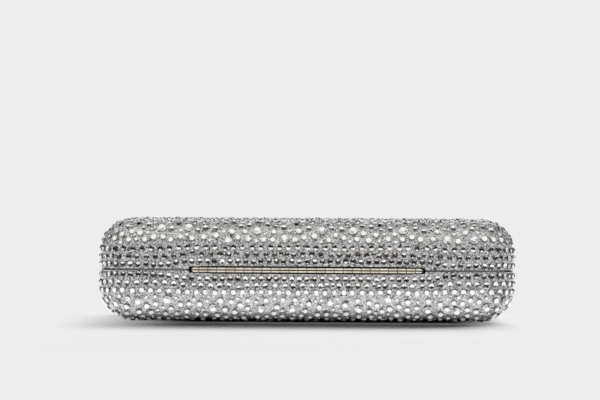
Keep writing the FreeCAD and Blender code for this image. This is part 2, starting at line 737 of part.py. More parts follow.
def strike_hook():
    """Makes the lid's strike: a plate on the rim, a web and a hook with a ramped nose under the slide."""
    body = new_body("strike_hook")
    tip = f"({HOOK_FRONT} - hook_nose)"
    plate_in = f"({STRIKE_SEAT} - strike_thickness)"
    web_top = f"({STRIKE_LOW} + strike_thickness)"
    profile = sketch_at(body, "HookOutline", "YZ_Plane", "-hook_width / 2")
    polygon(profile, (
        (STRIKE_SEAT, STRIKE_TOP),
        (STRIKE_SEAT, STRIKE_LOW),
        (HOOK_BACK, STRIKE_LOW),
        (HOOK_BACK, HOOK_LOW),
        (HOOK_FRONT, HOOK_LOW),
        (tip, f"{NOSE_TOP} - nose_land"),
        (tip, NOSE_TOP),
        (HOOK_FRONT, NOSE_TOP),
        (HOOK_FRONT, web_top),
        (plate_in, web_top),
        (plate_in, STRIKE_TOP),
    ))
    pad(body, profile, "Hook", "hook_width")
    plate = sketch_at(body, "PlateOutline", "XZ_Plane", STRIKE_SEAT)
    rectangle(plate, "-strike_width / 2", "strike_width / 2", STRIKE_LOW, STRIKE_TOP)
    pad(body, plate, "Plate", "strike_thickness")
    rivet_holes(body, "clasp", f"({LID.rim_in} + seat_gap)", f"({LID.rim_in} + seat_gap + strike_thickness)",
                STRIKE_RIVET_LEVEL, "2", "strike_rivet_pitch")
    return body


class StoneField:
    """Sets the large flat-backed stones, and the rows of small ones, on the covering of one half."""

    def __init__(self, half):
        self.half = half
        self.half_thickness = size["case_thickness"] / 2 - size["seam_gap"] / 2
        self.edge = min(
            size["edge_radius"],
            size["plan_radius"] - size["fillet_margin"],
            self.half_thickness - size["rim_height"] - size["glue_gap"] - size["fillet_margin"],
        )
        self.straight = self.half_thickness - self.edge
        self.seam = size["stone_height"] + size["stone_glue"] + size["case_thickness"] / 2
        self.run_x = size["case_length"] - 2 * size["plan_radius"]
        self.run_y = size["case_depth"] - 2 * size["plan_radius"]
        self.corner = math.pi / 2 * size["plan_radius"]
        self.clasp_level = value(CLASP_LEVEL)
        self.bezel_reach = value(BEZEL_LENGTH) / 2, value(BEZEL_HEIGHT) / 2
        self.spots = []
        self.taken = []

    def outline_at(self, distance, inset):
        """Walks round the plan from the hinge side's middle, and gives a point and its outward way."""
        distance += self.run_x / 2
        side = 0
        while True:
            run = self.run_x if side % 2 == 0 else self.run_y
            reach = size["case_depth"] if side % 2 == 0 else size["case_length"]
            facing = math.pi / 2 * (side - 1)
            out = FreeCAD.Vector(math.cos(facing), math.sin(facing), 0)
            along = FreeCAD.Vector(-out.y, out.x, 0)
            if distance < run:
                return out * (reach / 2 - inset) + along * (distance - run / 2), out
            distance -= run
            if distance < self.corner:
                centre = out * (reach / 2 - size["plan_radius"]) + along * (run / 2)
                turned = facing + distance / size["plan_radius"]
                out = FreeCAD.Vector(math.cos(turned), math.sin(turned), 0)
                return centre + out * (size["plan_radius"] - inset), out
            distance -= self.corner
            side += 1

    def on_wall(self, distance, climb):
        """Gives a stone's place and outward way, a climb over the surface away from the mouth."""
        tilt = max(climb - self.straight, 0) / self.edge
        inset = self.edge * (1 - math.cos(tilt))
        point, out = self.outline_at(distance, inset)
        rise = min(climb, self.straight) + self.edge * math.sin(tilt)
        point.z = self.seam + self.half.up * (size["seam_gap"] / 2 + rise)
        way = out * math.cos(tilt) + FreeCAD.Vector(0, 0, self.half.up * math.sin(tilt))
        return point, way

    def add(self, point, way, radius, gap):
        """Keeps a place unless a stone already sits too close to it."""
        if all(point.distanceToPoint(other) >= radius + taken + gap for other, taken in self.taken):
            self.spots.append((point, way))
            self.taken.append((point, radius))

    def add_large(self, point, way):
        """Keeps a place for a large stone."""
        self.add(point, way, size["stone_radius"], size["stone_gap"])

    def hinge_side(self):
        """Sets the stones seen on the hinge side, from their shares of the length and the thickness."""
        for length_share, rise_share in HINGE_SIDE_STONE_SHARES[self.half.name]:
            rise = rise_share * self.half_thickness - self.straight
            tilt = math.asin(rise / (self.edge + size["stone_height"] / 2))
            radius = size["plan_radius"] - self.edge * (1 - math.cos(tilt))
            x = length_share * size["case_length"] / 2
            past = abs(x) - self.run_x / 2
            distance = abs(x)
            if past > 0:
                distance = self.run_x / 2 + size["plan_radius"] * math.asin(min(past / radius, 1))
            climb = self.straight + self.edge * tilt
            self.add_large(*self.on_wall(self.perimeter() + math.copysign(distance, x), climb))

    def perimeter(self):
        """Gives the length of the plan outline."""
        return 2 * self.run_x + 2 * self.run_y + 4 * self.corner

    def other_sides(self):
        """Scatters stones over the two ends and the clasp side, after one in the middle of each end."""
        first = self.run_x / 2 + self.corner
        start = size["stone_seam_distance"]
        for distance in (first + self.run_y / 2, self.perimeter() - first - self.run_y / 2):
            self.add_large(*self.on_wall(distance, start))
        for along, across in scatter(int(size["wall_stone_count"])):
            distance = first + along * (self.perimeter() - 2 * first)
            self.add_large(*self.on_wall(distance, start + across * size["stone_band_length"]))

    def broad_face(self):
        """Scatters stones over the flat broad face, one of them in its middle."""
        reach_x = size["case_length"] / 2 - self.edge - size["face_stone_margin"]
        reach_y = size["case_depth"] / 2 - self.edge - size["face_stone_margin"]
        level = self.seam + self.half.up * size["case_thickness"] / 2
        for along, across in scatter(int(size["face_stone_count"])):
            point = FreeCAD.Vector((2 * along - 1) * reach_x, (2 * across - 1) * reach_y, level)
            self.add_large(point, FreeCAD.Vector(0, 0, self.half.up))

    def bow_share(self, point):
        """Gives the share of a row's bow at a point: all of it beside the hinge, and none further away."""
        hinge_end = size["knuckle_count"] * size["knuckle_pitch"] / 2
        past = (abs(point.x) - hinge_end) / size["row_bow_run"]
        share = min(max(1 - past, 0), 1) if point.y < 0 else 0
        return share**2 * (3 - 2 * share)

    def off_bezel(self, point):
        """Tells whether a small stone keeps clear of the clasp's bezel."""
        reach_x, reach_z = self.bezel_reach
        room = size["row_stone_radius"] + size["row_stone_gap"]
        past = max(abs(point.x) - reach_x, abs(point.z - self.clasp_level) - reach_z)
        return point.y < 0 or past > room

    def seam_rows(self):
        """Sets the rows of small stones beside the seam, each with less of a bow than the one before."""
        rows = int(size["row_count"])
        for row in range(rows):
            pitch = size["row_pitch"] if row else size["first_row_pitch"]
            count = round(self.perimeter() / pitch)
            climb = size["first_row_climb"] + row * size["row_step"]
            bow = size["row_bow"] * (1 - row / rows)
            for number in range(count):
                distance = self.perimeter() * (number + row / 2) / count
                swing = bow * self.bow_share(self.on_wall(distance, climb)[0])
                point, way = self.on_wall(distance, climb + swing)
                if self.off_bezel(point):
                    self.add(point, way, size["row_stone_radius"], size["row_stone_gap"])

    def node(self, label, cut):
        """Makes one piece of the stones set so far, in one cut, and starts a new one."""
        stones = []
        for point, way in self.spots:
            stone = cut()
            turned = FreeCAD.Rotation(FreeCAD.Vector(0, 0, 1), way)
            stone.Placement = FreeCAD.Placement(point + way * size["stone_glue"], turned)
            stones.append(stone)
        made = doc.addObject("Part::Feature", label)
        made.Label = label
        made.Shape = Part.makeCompound(stones)
        made.Placement = FreeCAD.Placement()
        self.spots = []
        return made


def scatter(count):
    """Gives the shares along and across of the places of an even scatter about the middle."""
    for number in range(count):
        offset = number - (count - 1) / 2
        yield 1 / 2 + offset / count, (1 / 2 + offset * SCATTER_SHARE) % 1


def stone_ring(count, radius, level):
    """Gives the corners of a stone at one level over its back."""
    turns = [2 * math.pi * (i + 1 / 2) / count for i in range(count)]
    return [FreeCAD.Vector(radius * math.cos(turn), radius * math.sin(turn), level) for turn in turns]


def cut_stone(loops):
    """Makes a solid from the outlines of a stone's facets."""
    faces = [Part.Face(Part.makePolygon(loop + loop[:1])) for loop in loops]
    return Part.makeSolid(Part.makeShell(faces))


def flat_back():
    """Cuts one large stone: a flat back, an upright girdle, slanting facets and a flat table."""
    count = int(size["stone_sides"])
    rings = [
        stone_ring(count, size["stone_radius"], 0),
        stone_ring(count, size["stone_radius"], size["stone_girdle"]),
        stone_ring(count, size["stone_table_radius"], size["stone_height"]),
    ]
    loops = [rings[0], rings[-1]]
    for low, high in zip(rings, rings[1:]):
        loops += [[low[i - 1], low[i], high[i], high[i - 1]] for i in range(count)]
    return cut_stone(loops)


def rose_cut():
    """Cuts one small stone: a flat back, and slanting facets that meet in a point."""
    count = int(size["row_stone_sides"])
    ring = stone_ring(count, size["row_stone_radius"], 0)
    tip = FreeCAD.Vector(0, 0, size["row_stone_height"])
    return cut_stone([ring] + [[ring[i - 1], ring[i], tip] for i in range(count)])


def build():
    """Builds every piece of the case and gives them in a list."""
    pieces = []
    lining_drop = "(rim_height + glue_gap)"
    for half in (BASE, LID):
        pieces.append(tray(half, f"{half.name}_cover", "0", "cover_thickness"))
        pieces.append(tray(half, f"{half.name}_shell", SHELL_OUT, "shell_wall"))
        pieces.append(tray(half, f"{half.name}_lining", RIM_OUT, "lining_thickness", lining_drop, False))
        pieces.append(base_rim() if half is BASE else lid_rim())
        pieces.append(hinge_leaf(half))
        pieces.append(hinge_rivets(half))
        field = StoneField(half)
        field.hinge_side()
        field.other_sides()
        pieces.append(field.node(f"{half.name}_side_stones", flat_back))
        field.broad_face()
        pieces.append(field.node("base_underside_stones" if half is BASE else "lid_top_stones", flat_back))
        field.seam_rows()
        pieces.append(field.node(f"{half.name}_row_stones", rose_cut))
    ear_end = f"(case_depth / 2 - {HOUSING_SEAT} + ear_thickness)"
    strike_end = f"({LID.rim_in} + seat_gap + strike_thickness)"
    pieces += [
        hinge_pin(),
        clasp_button(),
        clasp_slide(),
        clasp_bezel(),
        clasp_housing(),
        rivets("clasp_housing_rivets", "clasp", RIM_OUT, ear_end, CLASP_LEVEL, "2", HOUSING_RIVET_PITCH),
        clasp_leaf_spring(),
        strike_hook(),
        rivets("strike_rivets", "clasp", RIM_OUT, strike_end, STRIKE_RIVET_LEVEL, "2", "strike_rivet_pitch"),
    ]
    return pieces


def write(pieces):
    """Checks every object of the document, then writes each piece to a file of its own."""
    doc.recompute()
    failed = [thing.Label for thing in doc.Objects if {"Invalid", "Error"} & set(thing.State)]
    failed += [piece.Label for piece in pieces if piece.Shape.isNull() or not piece.Shape.isValid()]
    if failed:
        raise RuntimeError(f"not built: {', '.join(failed)}")
    os.makedirs("parts", exist_ok=True)
    for piece in pieces:
        piece.Shape.exportStep(f"parts/{piece.Label}.step")
        box = piece.Shape.BoundBox
        print(f"{piece.Label}: {len(piece.Shape.Solids)} solids, {piece.Shape.Volume:.1f} mm3,"
              f" z {box.ZMin:.2f} to {box.ZMax:.2f}")


write(build())
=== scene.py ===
"""Looks of a hard evening clutch covered with crystals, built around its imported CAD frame.

The case lies on its broad underside with its hinge side towards the camera. Thousands of flat-backed
crystals sit in a glittering ground, in neat rows beside the seam and scattered further away. Sizes are
metres, in the frame of the CAD model.
"""
import logging
import math
import random
from collections import defaultdict
from collections.abc import Callable, Iterable, Iterator
from dataclasses import dataclass, field
from enum import Enum
from functools import reduce
from itertools import product
from typing import Union

import bmesh
import bpy
from mathutils import Matrix, Quaternion, Vector

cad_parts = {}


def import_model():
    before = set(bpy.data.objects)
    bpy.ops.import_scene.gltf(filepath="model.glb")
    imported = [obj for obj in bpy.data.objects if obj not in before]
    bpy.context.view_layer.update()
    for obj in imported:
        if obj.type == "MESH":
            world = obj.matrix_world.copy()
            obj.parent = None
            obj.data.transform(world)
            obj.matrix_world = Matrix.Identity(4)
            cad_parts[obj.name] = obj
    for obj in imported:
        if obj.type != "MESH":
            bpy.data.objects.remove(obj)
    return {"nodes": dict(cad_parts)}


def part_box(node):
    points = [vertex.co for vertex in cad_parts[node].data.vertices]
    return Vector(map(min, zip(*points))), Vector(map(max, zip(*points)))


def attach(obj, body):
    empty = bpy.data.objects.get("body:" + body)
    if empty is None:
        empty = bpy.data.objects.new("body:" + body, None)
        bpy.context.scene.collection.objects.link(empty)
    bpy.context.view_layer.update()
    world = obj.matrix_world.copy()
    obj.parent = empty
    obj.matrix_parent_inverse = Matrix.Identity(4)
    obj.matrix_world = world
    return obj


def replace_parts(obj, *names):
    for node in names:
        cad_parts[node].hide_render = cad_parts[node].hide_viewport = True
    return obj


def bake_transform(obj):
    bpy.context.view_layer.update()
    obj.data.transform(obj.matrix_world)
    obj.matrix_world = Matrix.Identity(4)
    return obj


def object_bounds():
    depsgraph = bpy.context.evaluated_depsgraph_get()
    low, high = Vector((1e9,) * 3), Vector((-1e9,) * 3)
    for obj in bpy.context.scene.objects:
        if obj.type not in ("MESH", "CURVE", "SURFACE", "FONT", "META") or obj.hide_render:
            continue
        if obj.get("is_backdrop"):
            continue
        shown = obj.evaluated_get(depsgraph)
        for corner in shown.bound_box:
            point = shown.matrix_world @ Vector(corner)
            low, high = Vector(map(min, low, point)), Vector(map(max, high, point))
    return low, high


LOG = logging.getLogger("crystal_case")
MM = 0.001
UP = Vector((0, 0, 1))
Feed = Union[float, tuple, bpy.types.NodeSocket]
Colour = tuple[float, float, float, float]
Span = tuple[float, float]
Place = tuple[Vector, Vector]
Nodes = dict[str, bpy.types.Object]


def seam_level() -> float:
    """Gives the height of the seam, midway between the two coverings."""
    return (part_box("base_cover")[1].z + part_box("lid_cover")[0].z) / 2


def clamp(value: float) -> float:
    """Keeps a value from 0 to 1."""
    return min(max(value, 0), 1)


def heading(turn: float) -> Vector:
    """Gives the level way at an angle from the X axis."""
    return Vector((math.cos(turn), math.sin(turn), 0))


def paled(shades: Span, share: float) -> Span:
    """Brings a range of shades nearer to white by a share of the way."""
    low, high = shades
    return low + (1 - low) * share, high + (1 - high) * share


def placed(name: str, data: bpy.types.ID) -> bpy.types.Object:
    """Makes an object and puts it in the scene.

    Args:
        name: The object's name.
        data: Its mesh, light or camera.

    Returns:
        The new object.
    """
    item = bpy.data.objects.new(name, data)
    bpy.context.scene.collection.objects.link(item)
    return item


class Half(Enum):
    """The two halves of the case, named as their bodies are."""

    BASE = "base"
    LID = "lid"

    @property
    def up(self) -> int:
        """Gives the way from the mouth to the broad face."""
        return 1 if self is Half.LID else -1

    @property
    def broad_stones(self) -> str:
        """Names the CAD node of the large stones on the broad face."""
        return "lid_top_stones" if self is Half.LID else "base_underside_stones"


class Cut(Enum):
    """How a stone's crown is cut."""

    PLAIN = "plain"
    BRILLIANT = "brilliant"


class Wiring:
    """Adds nodes to one shader tree and links them."""

    def __init__(self, tree: bpy.types.NodeTree) -> None:
        """Keeps the tree that the nodes go into."""
        self.tree = tree

    def feed(self, socket: bpy.types.NodeSocket, value: Feed) -> None:
        """Links a socket, or sets its own value.

        Args:
            socket: The input that takes the value.
            value: Another node's output, or a plain number, vector or colour.
        """
        if isinstance(value, bpy.types.NodeSocket):
            self.tree.links.new(value, socket)
        else:
            socket.default_value = value

    def fill(self, node: bpy.types.Node, inputs: dict[str, Feed]) -> None:
        """Feeds the sockets of a node that are named."""
        for name, value in inputs.items():
            self.feed(node.inputs[name], value)

    def add(self, kind: str, inputs: dict[str, Feed] | None = None, **settings: object) -> bpy.types.Node:
        """Adds a shader node.

        Args:
            kind: The node's type, without its common prefix.
            inputs: What goes into its sockets, by socket name.
            settings: Its other properties.

        Returns:
            The new node.
        """
        node = self.tree.nodes.new(f"ShaderNode{kind}")
        for name, setting in settings.items():
            setattr(node, name, setting)
        self.fill(node, inputs or {})
        return node

    def maths(self, operation: str, *values: Feed) -> bpy.types.NodeSocket:
        """Adds a sum on numbers.

        Args:
            operation: The name of the sum.
            values: What goes into it, in order.

        Returns:
            The socket with the result.
        """
        node = self.add("Math", operation=operation)
        for socket, value in zip(node.inputs, values):
            self.feed(socket, value)
        return node.outputs[0]

    def chain(self, operation: str, *values: Feed) -> bpy.types.NodeSocket:
        """Chains one sum over many numbers, such as their product or the greatest of them."""
        return reduce(lambda first, second: self.maths(operation, first, second), values)

    def away(self, value: Feed, level: Feed) -> bpy.types.NodeSocket:
        """Gives how far a value lies from a level, above or below it."""
        return self.maths("ABSOLUTE", self.maths("SUBTRACT", value, level))

    def vectors(self, operation: str, *values: Feed) -> bpy.types.NodeSocket:
        """Adds a sum on vectors.

        Args:
            operation: The name of the sum.
            values: The vectors that go into it, in order.

        Returns:
            The socket with the resulting vector.
        """
        node = self.add("VectorMath", operation=operation)
        for socket, value in zip(node.inputs, values):
            self.feed(socket, value)
        return node.outputs["Vector"]

    def scaled(self, vector: Feed, factor: Feed) -> bpy.types.NodeSocket:
        """Gives a vector times a number."""
        node = self.add("VectorMath", {"Vector": vector, "Scale": factor}, operation="SCALE")
        return node.outputs["Vector"]

    def parts(self, vector: Feed) -> bpy.types.NodeOutputs:
        """Splits a vector into its X, Y and Z."""
        return self.add("SeparateXYZ", {"Vector": vector}).outputs

    def upright(self, along_y: Feed, along_z: Feed) -> bpy.types.NodeSocket:
        """Gives a vector square to the X axis."""
        return self.add("CombineXYZ", {"X": 0.0, "Y": along_y, "Z": along_z}).outputs["Vector"]

    def coordinate(self, kind: str) -> bpy.types.NodeSocket:
        """Gives the surface's own place or facing, in the frame of the piece."""
        return self.add("TexCoord").outputs[kind]

    def to_room(self, facing: Feed) -> bpy.types.NodeSocket:
        """Turns a facing with the piece, from its own frame into the room's."""
        settings = {"vector_type": "NORMAL", "convert_from": "OBJECT", "convert_to": "WORLD"}
        return self.add("VectorTransform", {"Vector": facing}, **settings).outputs["Vector"]

    def ramp(self, value: Feed, stops: tuple[tuple[float, Colour], ...]) -> bpy.types.NodeSocket:
        """Turns a value into a colour.

        Args:
            value: The value, from 0 to 1.
            stops: Places and colours of the ramp, from low to high.

        Returns:
            The socket with the colour.
        """
        node = self.add("ValToRGB", {"Fac": value})
        elements = node.color_ramp.elements
        while len(elements) < len(stops):
            elements.new(1)
        for element, (place, colour) in zip(elements, stops):
            element.position = place
            element.color = colour
        return node.outputs["Color"]

    def shaded(self, value: Feed, span: Span, dark: Colour, light: Colour) -> bpy.types.NodeSocket:
        """Turns a value into a colour from dark to light, over a span of values."""
        return self.ramp(value, ((span[0], dark), (span[1], light)))

    def smooth(self, value: Feed, start: float, end: float) -> bpy.types.NodeSocket:
        """Gives a soft step from 0 at the start value to 1 at the end value.

        Args:
            value: The value that is stepped.
            start: Where the step starts.
            end: Where the step ends, above or below its start.

        Returns:
            The socket with the step.
        """
        node = self.add("MapRange", {"Value": value, "From Min": start, "From Max": end})
        node.interpolation_type = "SMOOTHSTEP"
        return node.outputs["Result"]

    def mixed(self, share: Feed, first: Feed, second: Feed) -> bpy.types.NodeSocket:
        """Mixes two colours by the share of the second one."""
        return self.add("MixRGB", {"Fac": share, "Color1": first, "Color2": second}).outputs["Color"]

    def spread(self, value: Feed, low: float, high: float) -> bpy.types.NodeSocket:
        """Maps a value from 0 to 1 onto the range from low to high."""
        return self.add("MapRange", {"Value": value, "To Min": low, "To Max": high}).outputs["Result"]


class Effect:
    """A surface effect kept as one shader node group, which every material that shows it shares."""

    name: str = ""
    inputs: dict[str, float] = {}
    outputs: dict[str, str] = {}

    def wire(self, wiring: Wiring, entry: bpy.types.Node, leave: bpy.types.Node) -> None:
        """Fills the group; each effect has its own way.

        Args:
            wiring: The group's tree.
            entry: The node with the group's inputs.
            leave: The node with the group's outputs.
        """
        raise NotImplementedError

    def group(self) -> bpy.types.NodeTree:
        """Builds the group on its first use.

        Returns:
            The group's tree.
        """
        tree = bpy.data.node_groups.get(self.name)
        if tree is None:
            tree = bpy.data.node_groups.new(self.name, "ShaderNodeTree")
            for label, usual in self.inputs.items():
                socket = tree.interface.new_socket(label, in_out="INPUT", socket_type="NodeSocketFloat")
                socket.default_value = usual
            for label, kind in self.outputs.items():
                tree.interface.new_socket(label, in_out="OUTPUT", socket_type=kind)
            entry = tree.nodes.new("NodeGroupInput")
            leave = tree.nodes.new("NodeGroupOutput")
            self.wire(Wiring(tree), entry, leave)
        return tree

    def place(self, wiring: Wiring, **values: float) -> bpy.types.NodeOutputs:
        """Places the effect in a material.

        Args:
            wiring: The material's tree.
            values: The effect's inputs in this material.

        Returns:
            The outputs of the placed group.
        """
        node = wiring.tree.nodes.new("ShaderNodeGroup")
        node.node_tree = self.group()
        wiring.fill(node, values)
        return node.outputs


class GlitterGrains(Effect):
    """Grains of glitter that each face their own way and have their own shade."""

    name = "glitter_grains"
    inputs = {"Scale": 1800.0, "Lean": 1.0}
    outputs = {"Normal": "NodeSocketVector", "Shade": "NodeSocketFloat"}
    mean_cell = (0.5, 0.5, 0.5)

    def wire(self, wiring: Wiring, entry: bpy.types.Node, leave: bpy.types.Node) -> None:
        """Splits the surface into cells with random normals and shades.

        Args:
            wiring: The group's tree.
            entry: The node with the group's inputs.
            leave: The node with the group's outputs.
        """
        sockets = {"Vector": wiring.coordinate("Object"), "Scale": entry.outputs["Scale"]}
        cells = wiring.add("TexVoronoi", sockets).outputs["Color"]
        lean = wiring.scaled(wiring.vectors("SUBTRACT", cells, self.mean_cell), entry.outputs["Lean"])
        facing = wiring.add("NewGeometry").outputs["Normal"]
        facing = wiring.vectors("NORMALIZE", wiring.vectors("ADD", facing, lean))
        shade = wiring.add("SeparateColor", {"Color": cells}).outputs["Red"]
        wiring.fill(leave, {"Normal": facing, "Shade": shade})


class SoftMottle(Effect):
    """Soft cloudy change over a surface, for handling marks and uneven colour."""

    name = "soft_mottle"
    inputs = {"Scale": 60.0, "Detail": 4.0}
    outputs = {"Shade": "NodeSocketFloat"}

    def wire(self, wiring: Wiring, entry: bpy.types.Node, leave: bpy.types.Node) -> None:
        """Spreads layered noise over the surface.

        Args:
            wiring: The group's tree.
            entry: The node with the group's inputs.
            leave: The node with the group's outputs.
        """
        sockets = {label: entry.outputs[label] for label in self.inputs}
        clouds = wiring.add("TexNoise", {"Vector": wiring.coordinate("Object")} | sockets)
        wiring.fill(leave, {"Shade": clouds.outputs["Fac"]})


class DrawnLines(Effect):
    """Fine lines along X, as rolled and polished strip metal has."""

    name = "drawn_lines"
    inputs = {"Scale": 900.0}
    outputs = {"Shade": "NodeSocketFloat"}
    stretch = (0.03, 1, 1)

    def wire(self, wiring: Wiring, entry: bpy.types.Node, leave: bpy.types.Node) -> None:
        """Stretches noise along X.

        Args:
            wiring: The group's tree.
            entry: The node with the group's inputs.
            leave: The node with the group's outputs.
        """
        stretched = wiring.vectors("MULTIPLY", wiring.coordinate("Object"), self.stretch)
        lines = wiring.add("TexNoise", {"Vector": stretched, "Scale": entry.outputs["Scale"]})
        wiring.fill(leave, {"Shade": lines.outputs["Fac"]})


@dataclass(frozen=True)
class Finish:
    """What all finishes share: a name and a material built from nodes."""

    name: str

    def start(self) -> tuple[bpy.types.Material, Wiring, bpy.types.Node]:
        """Starts the material.

        Returns:
            The material, its wiring and its main shader.
        """
        material = bpy.data.materials.new(self.name)
        material.use_nodes = True
        wiring = Wiring(material.node_tree)
        return material, wiring, material.node_tree.nodes["Principled BSDF"]

    def bumped(self, wiring: Wiring, shader: bpy.types.Node, height: Feed, reach: float) -> None:
        """Gives the surface a fine relief.

        Args:
            wiring: The material's tree.
            shader: The material's main shader.
            height: The relief's height, from 0 to 1.
            reach: The depth of the relief.
        """
        relief = wiring.add("Bump", {"Height": height, "Distance": reach})
        wiring.fill(shader, {"Normal": relief.outputs["Normal"]})


@dataclass(frozen=True)
class CrystalFinish(Finish):
    """Foil-backed crystal: a mirror that faces as the foil does, under a clear polished coat."""

    roughness: Span = (0.03, 0.09)
    cloud_scale: float = 700.0
    coat: float = 1.0
    coat_roughness: float = 0.02
    refraction: float = 1.56

    def material(self) -> bpy.types.Material:
        """Builds the crystal's material.

        Returns:
            The material.
        """
        material, wiring, shader = self.start()
        # Each facet's tint holds its painted shade, painted paleness and painted glints.
        tint = wiring.add("Attribute", attribute_name=StoneMesh.TINT).outputs["Color"]
        foil = wiring.add("Attribute", attribute_name=StoneMesh.FOIL).outputs["Vector"]
        clouds = SoftMottle().place(wiring, Scale=self.cloud_scale)["Shade"]
        sockets = {
            "Base Color": tint,
            "Normal": wiring.to_room(foil),
            "Roughness": wiring.spread(clouds, *self.roughness),
            "Metallic": 1.0,
            "Coat Weight": self.coat,
            "Coat Roughness": self.coat_roughness,
            "Coat IOR": self.refraction,
        }
        wiring.fill(shader, sockets)
        return material


@dataclass(frozen=True)
class GroundFinish(Finish):
    """The glittering ground between the crystals, painted near black along its edge at the seam as shade in
    the gap.
    """

    grain: float = 0.45 * MM
    lean: float = 0.8
    roughness: Span = (0.22, 0.42)
    shades: tuple[tuple[float, Colour], ...] = (
        (0.1, (0.33, 0.33, 0.335, 1)),
        (0.6, (0.71, 0.71, 0.72, 1)),
        (0.95, (1.0, 1.0, 1.0, 1)),
    )
    # Painted shade: the ground's colour along its edge at the seam, where the gap lies in shade.
    edge: Colour = (0.012, 0.012, 0.013, 1)
    seam_shade_near: float = 0.34 * MM
    seam_shade_far: float = 0.46 * MM

    def material(self) -> bpy.types.Material:
        """Builds the ground's material.

        Returns:
            The material.
        """
        material, wiring, shader = self.start()
        grains = GlitterGrains().place(wiring, Scale=1 / self.grain, Lean=self.lean)
        place = wiring.parts(wiring.coordinate("Object"))
        # Painted shade band: 0 along the seam's edge, where the painted shade colour goes, and 1 on the
        # open ground.
        ground = wiring.smooth(wiring.away(place["Z"], seam_level()), self.seam_shade_near, self.seam_shade_far)
        sockets = {
            "Base Color": wiring.mixed(ground, self.edge, wiring.ramp(grains["Shade"], self.shades)),
            "Normal": grains["Normal"],
            "Roughness": wiring.spread(grains["Shade"], *self.roughness),
            "Metallic": 1.0,
        }
        wiring.fill(shader, sockets)
        return material


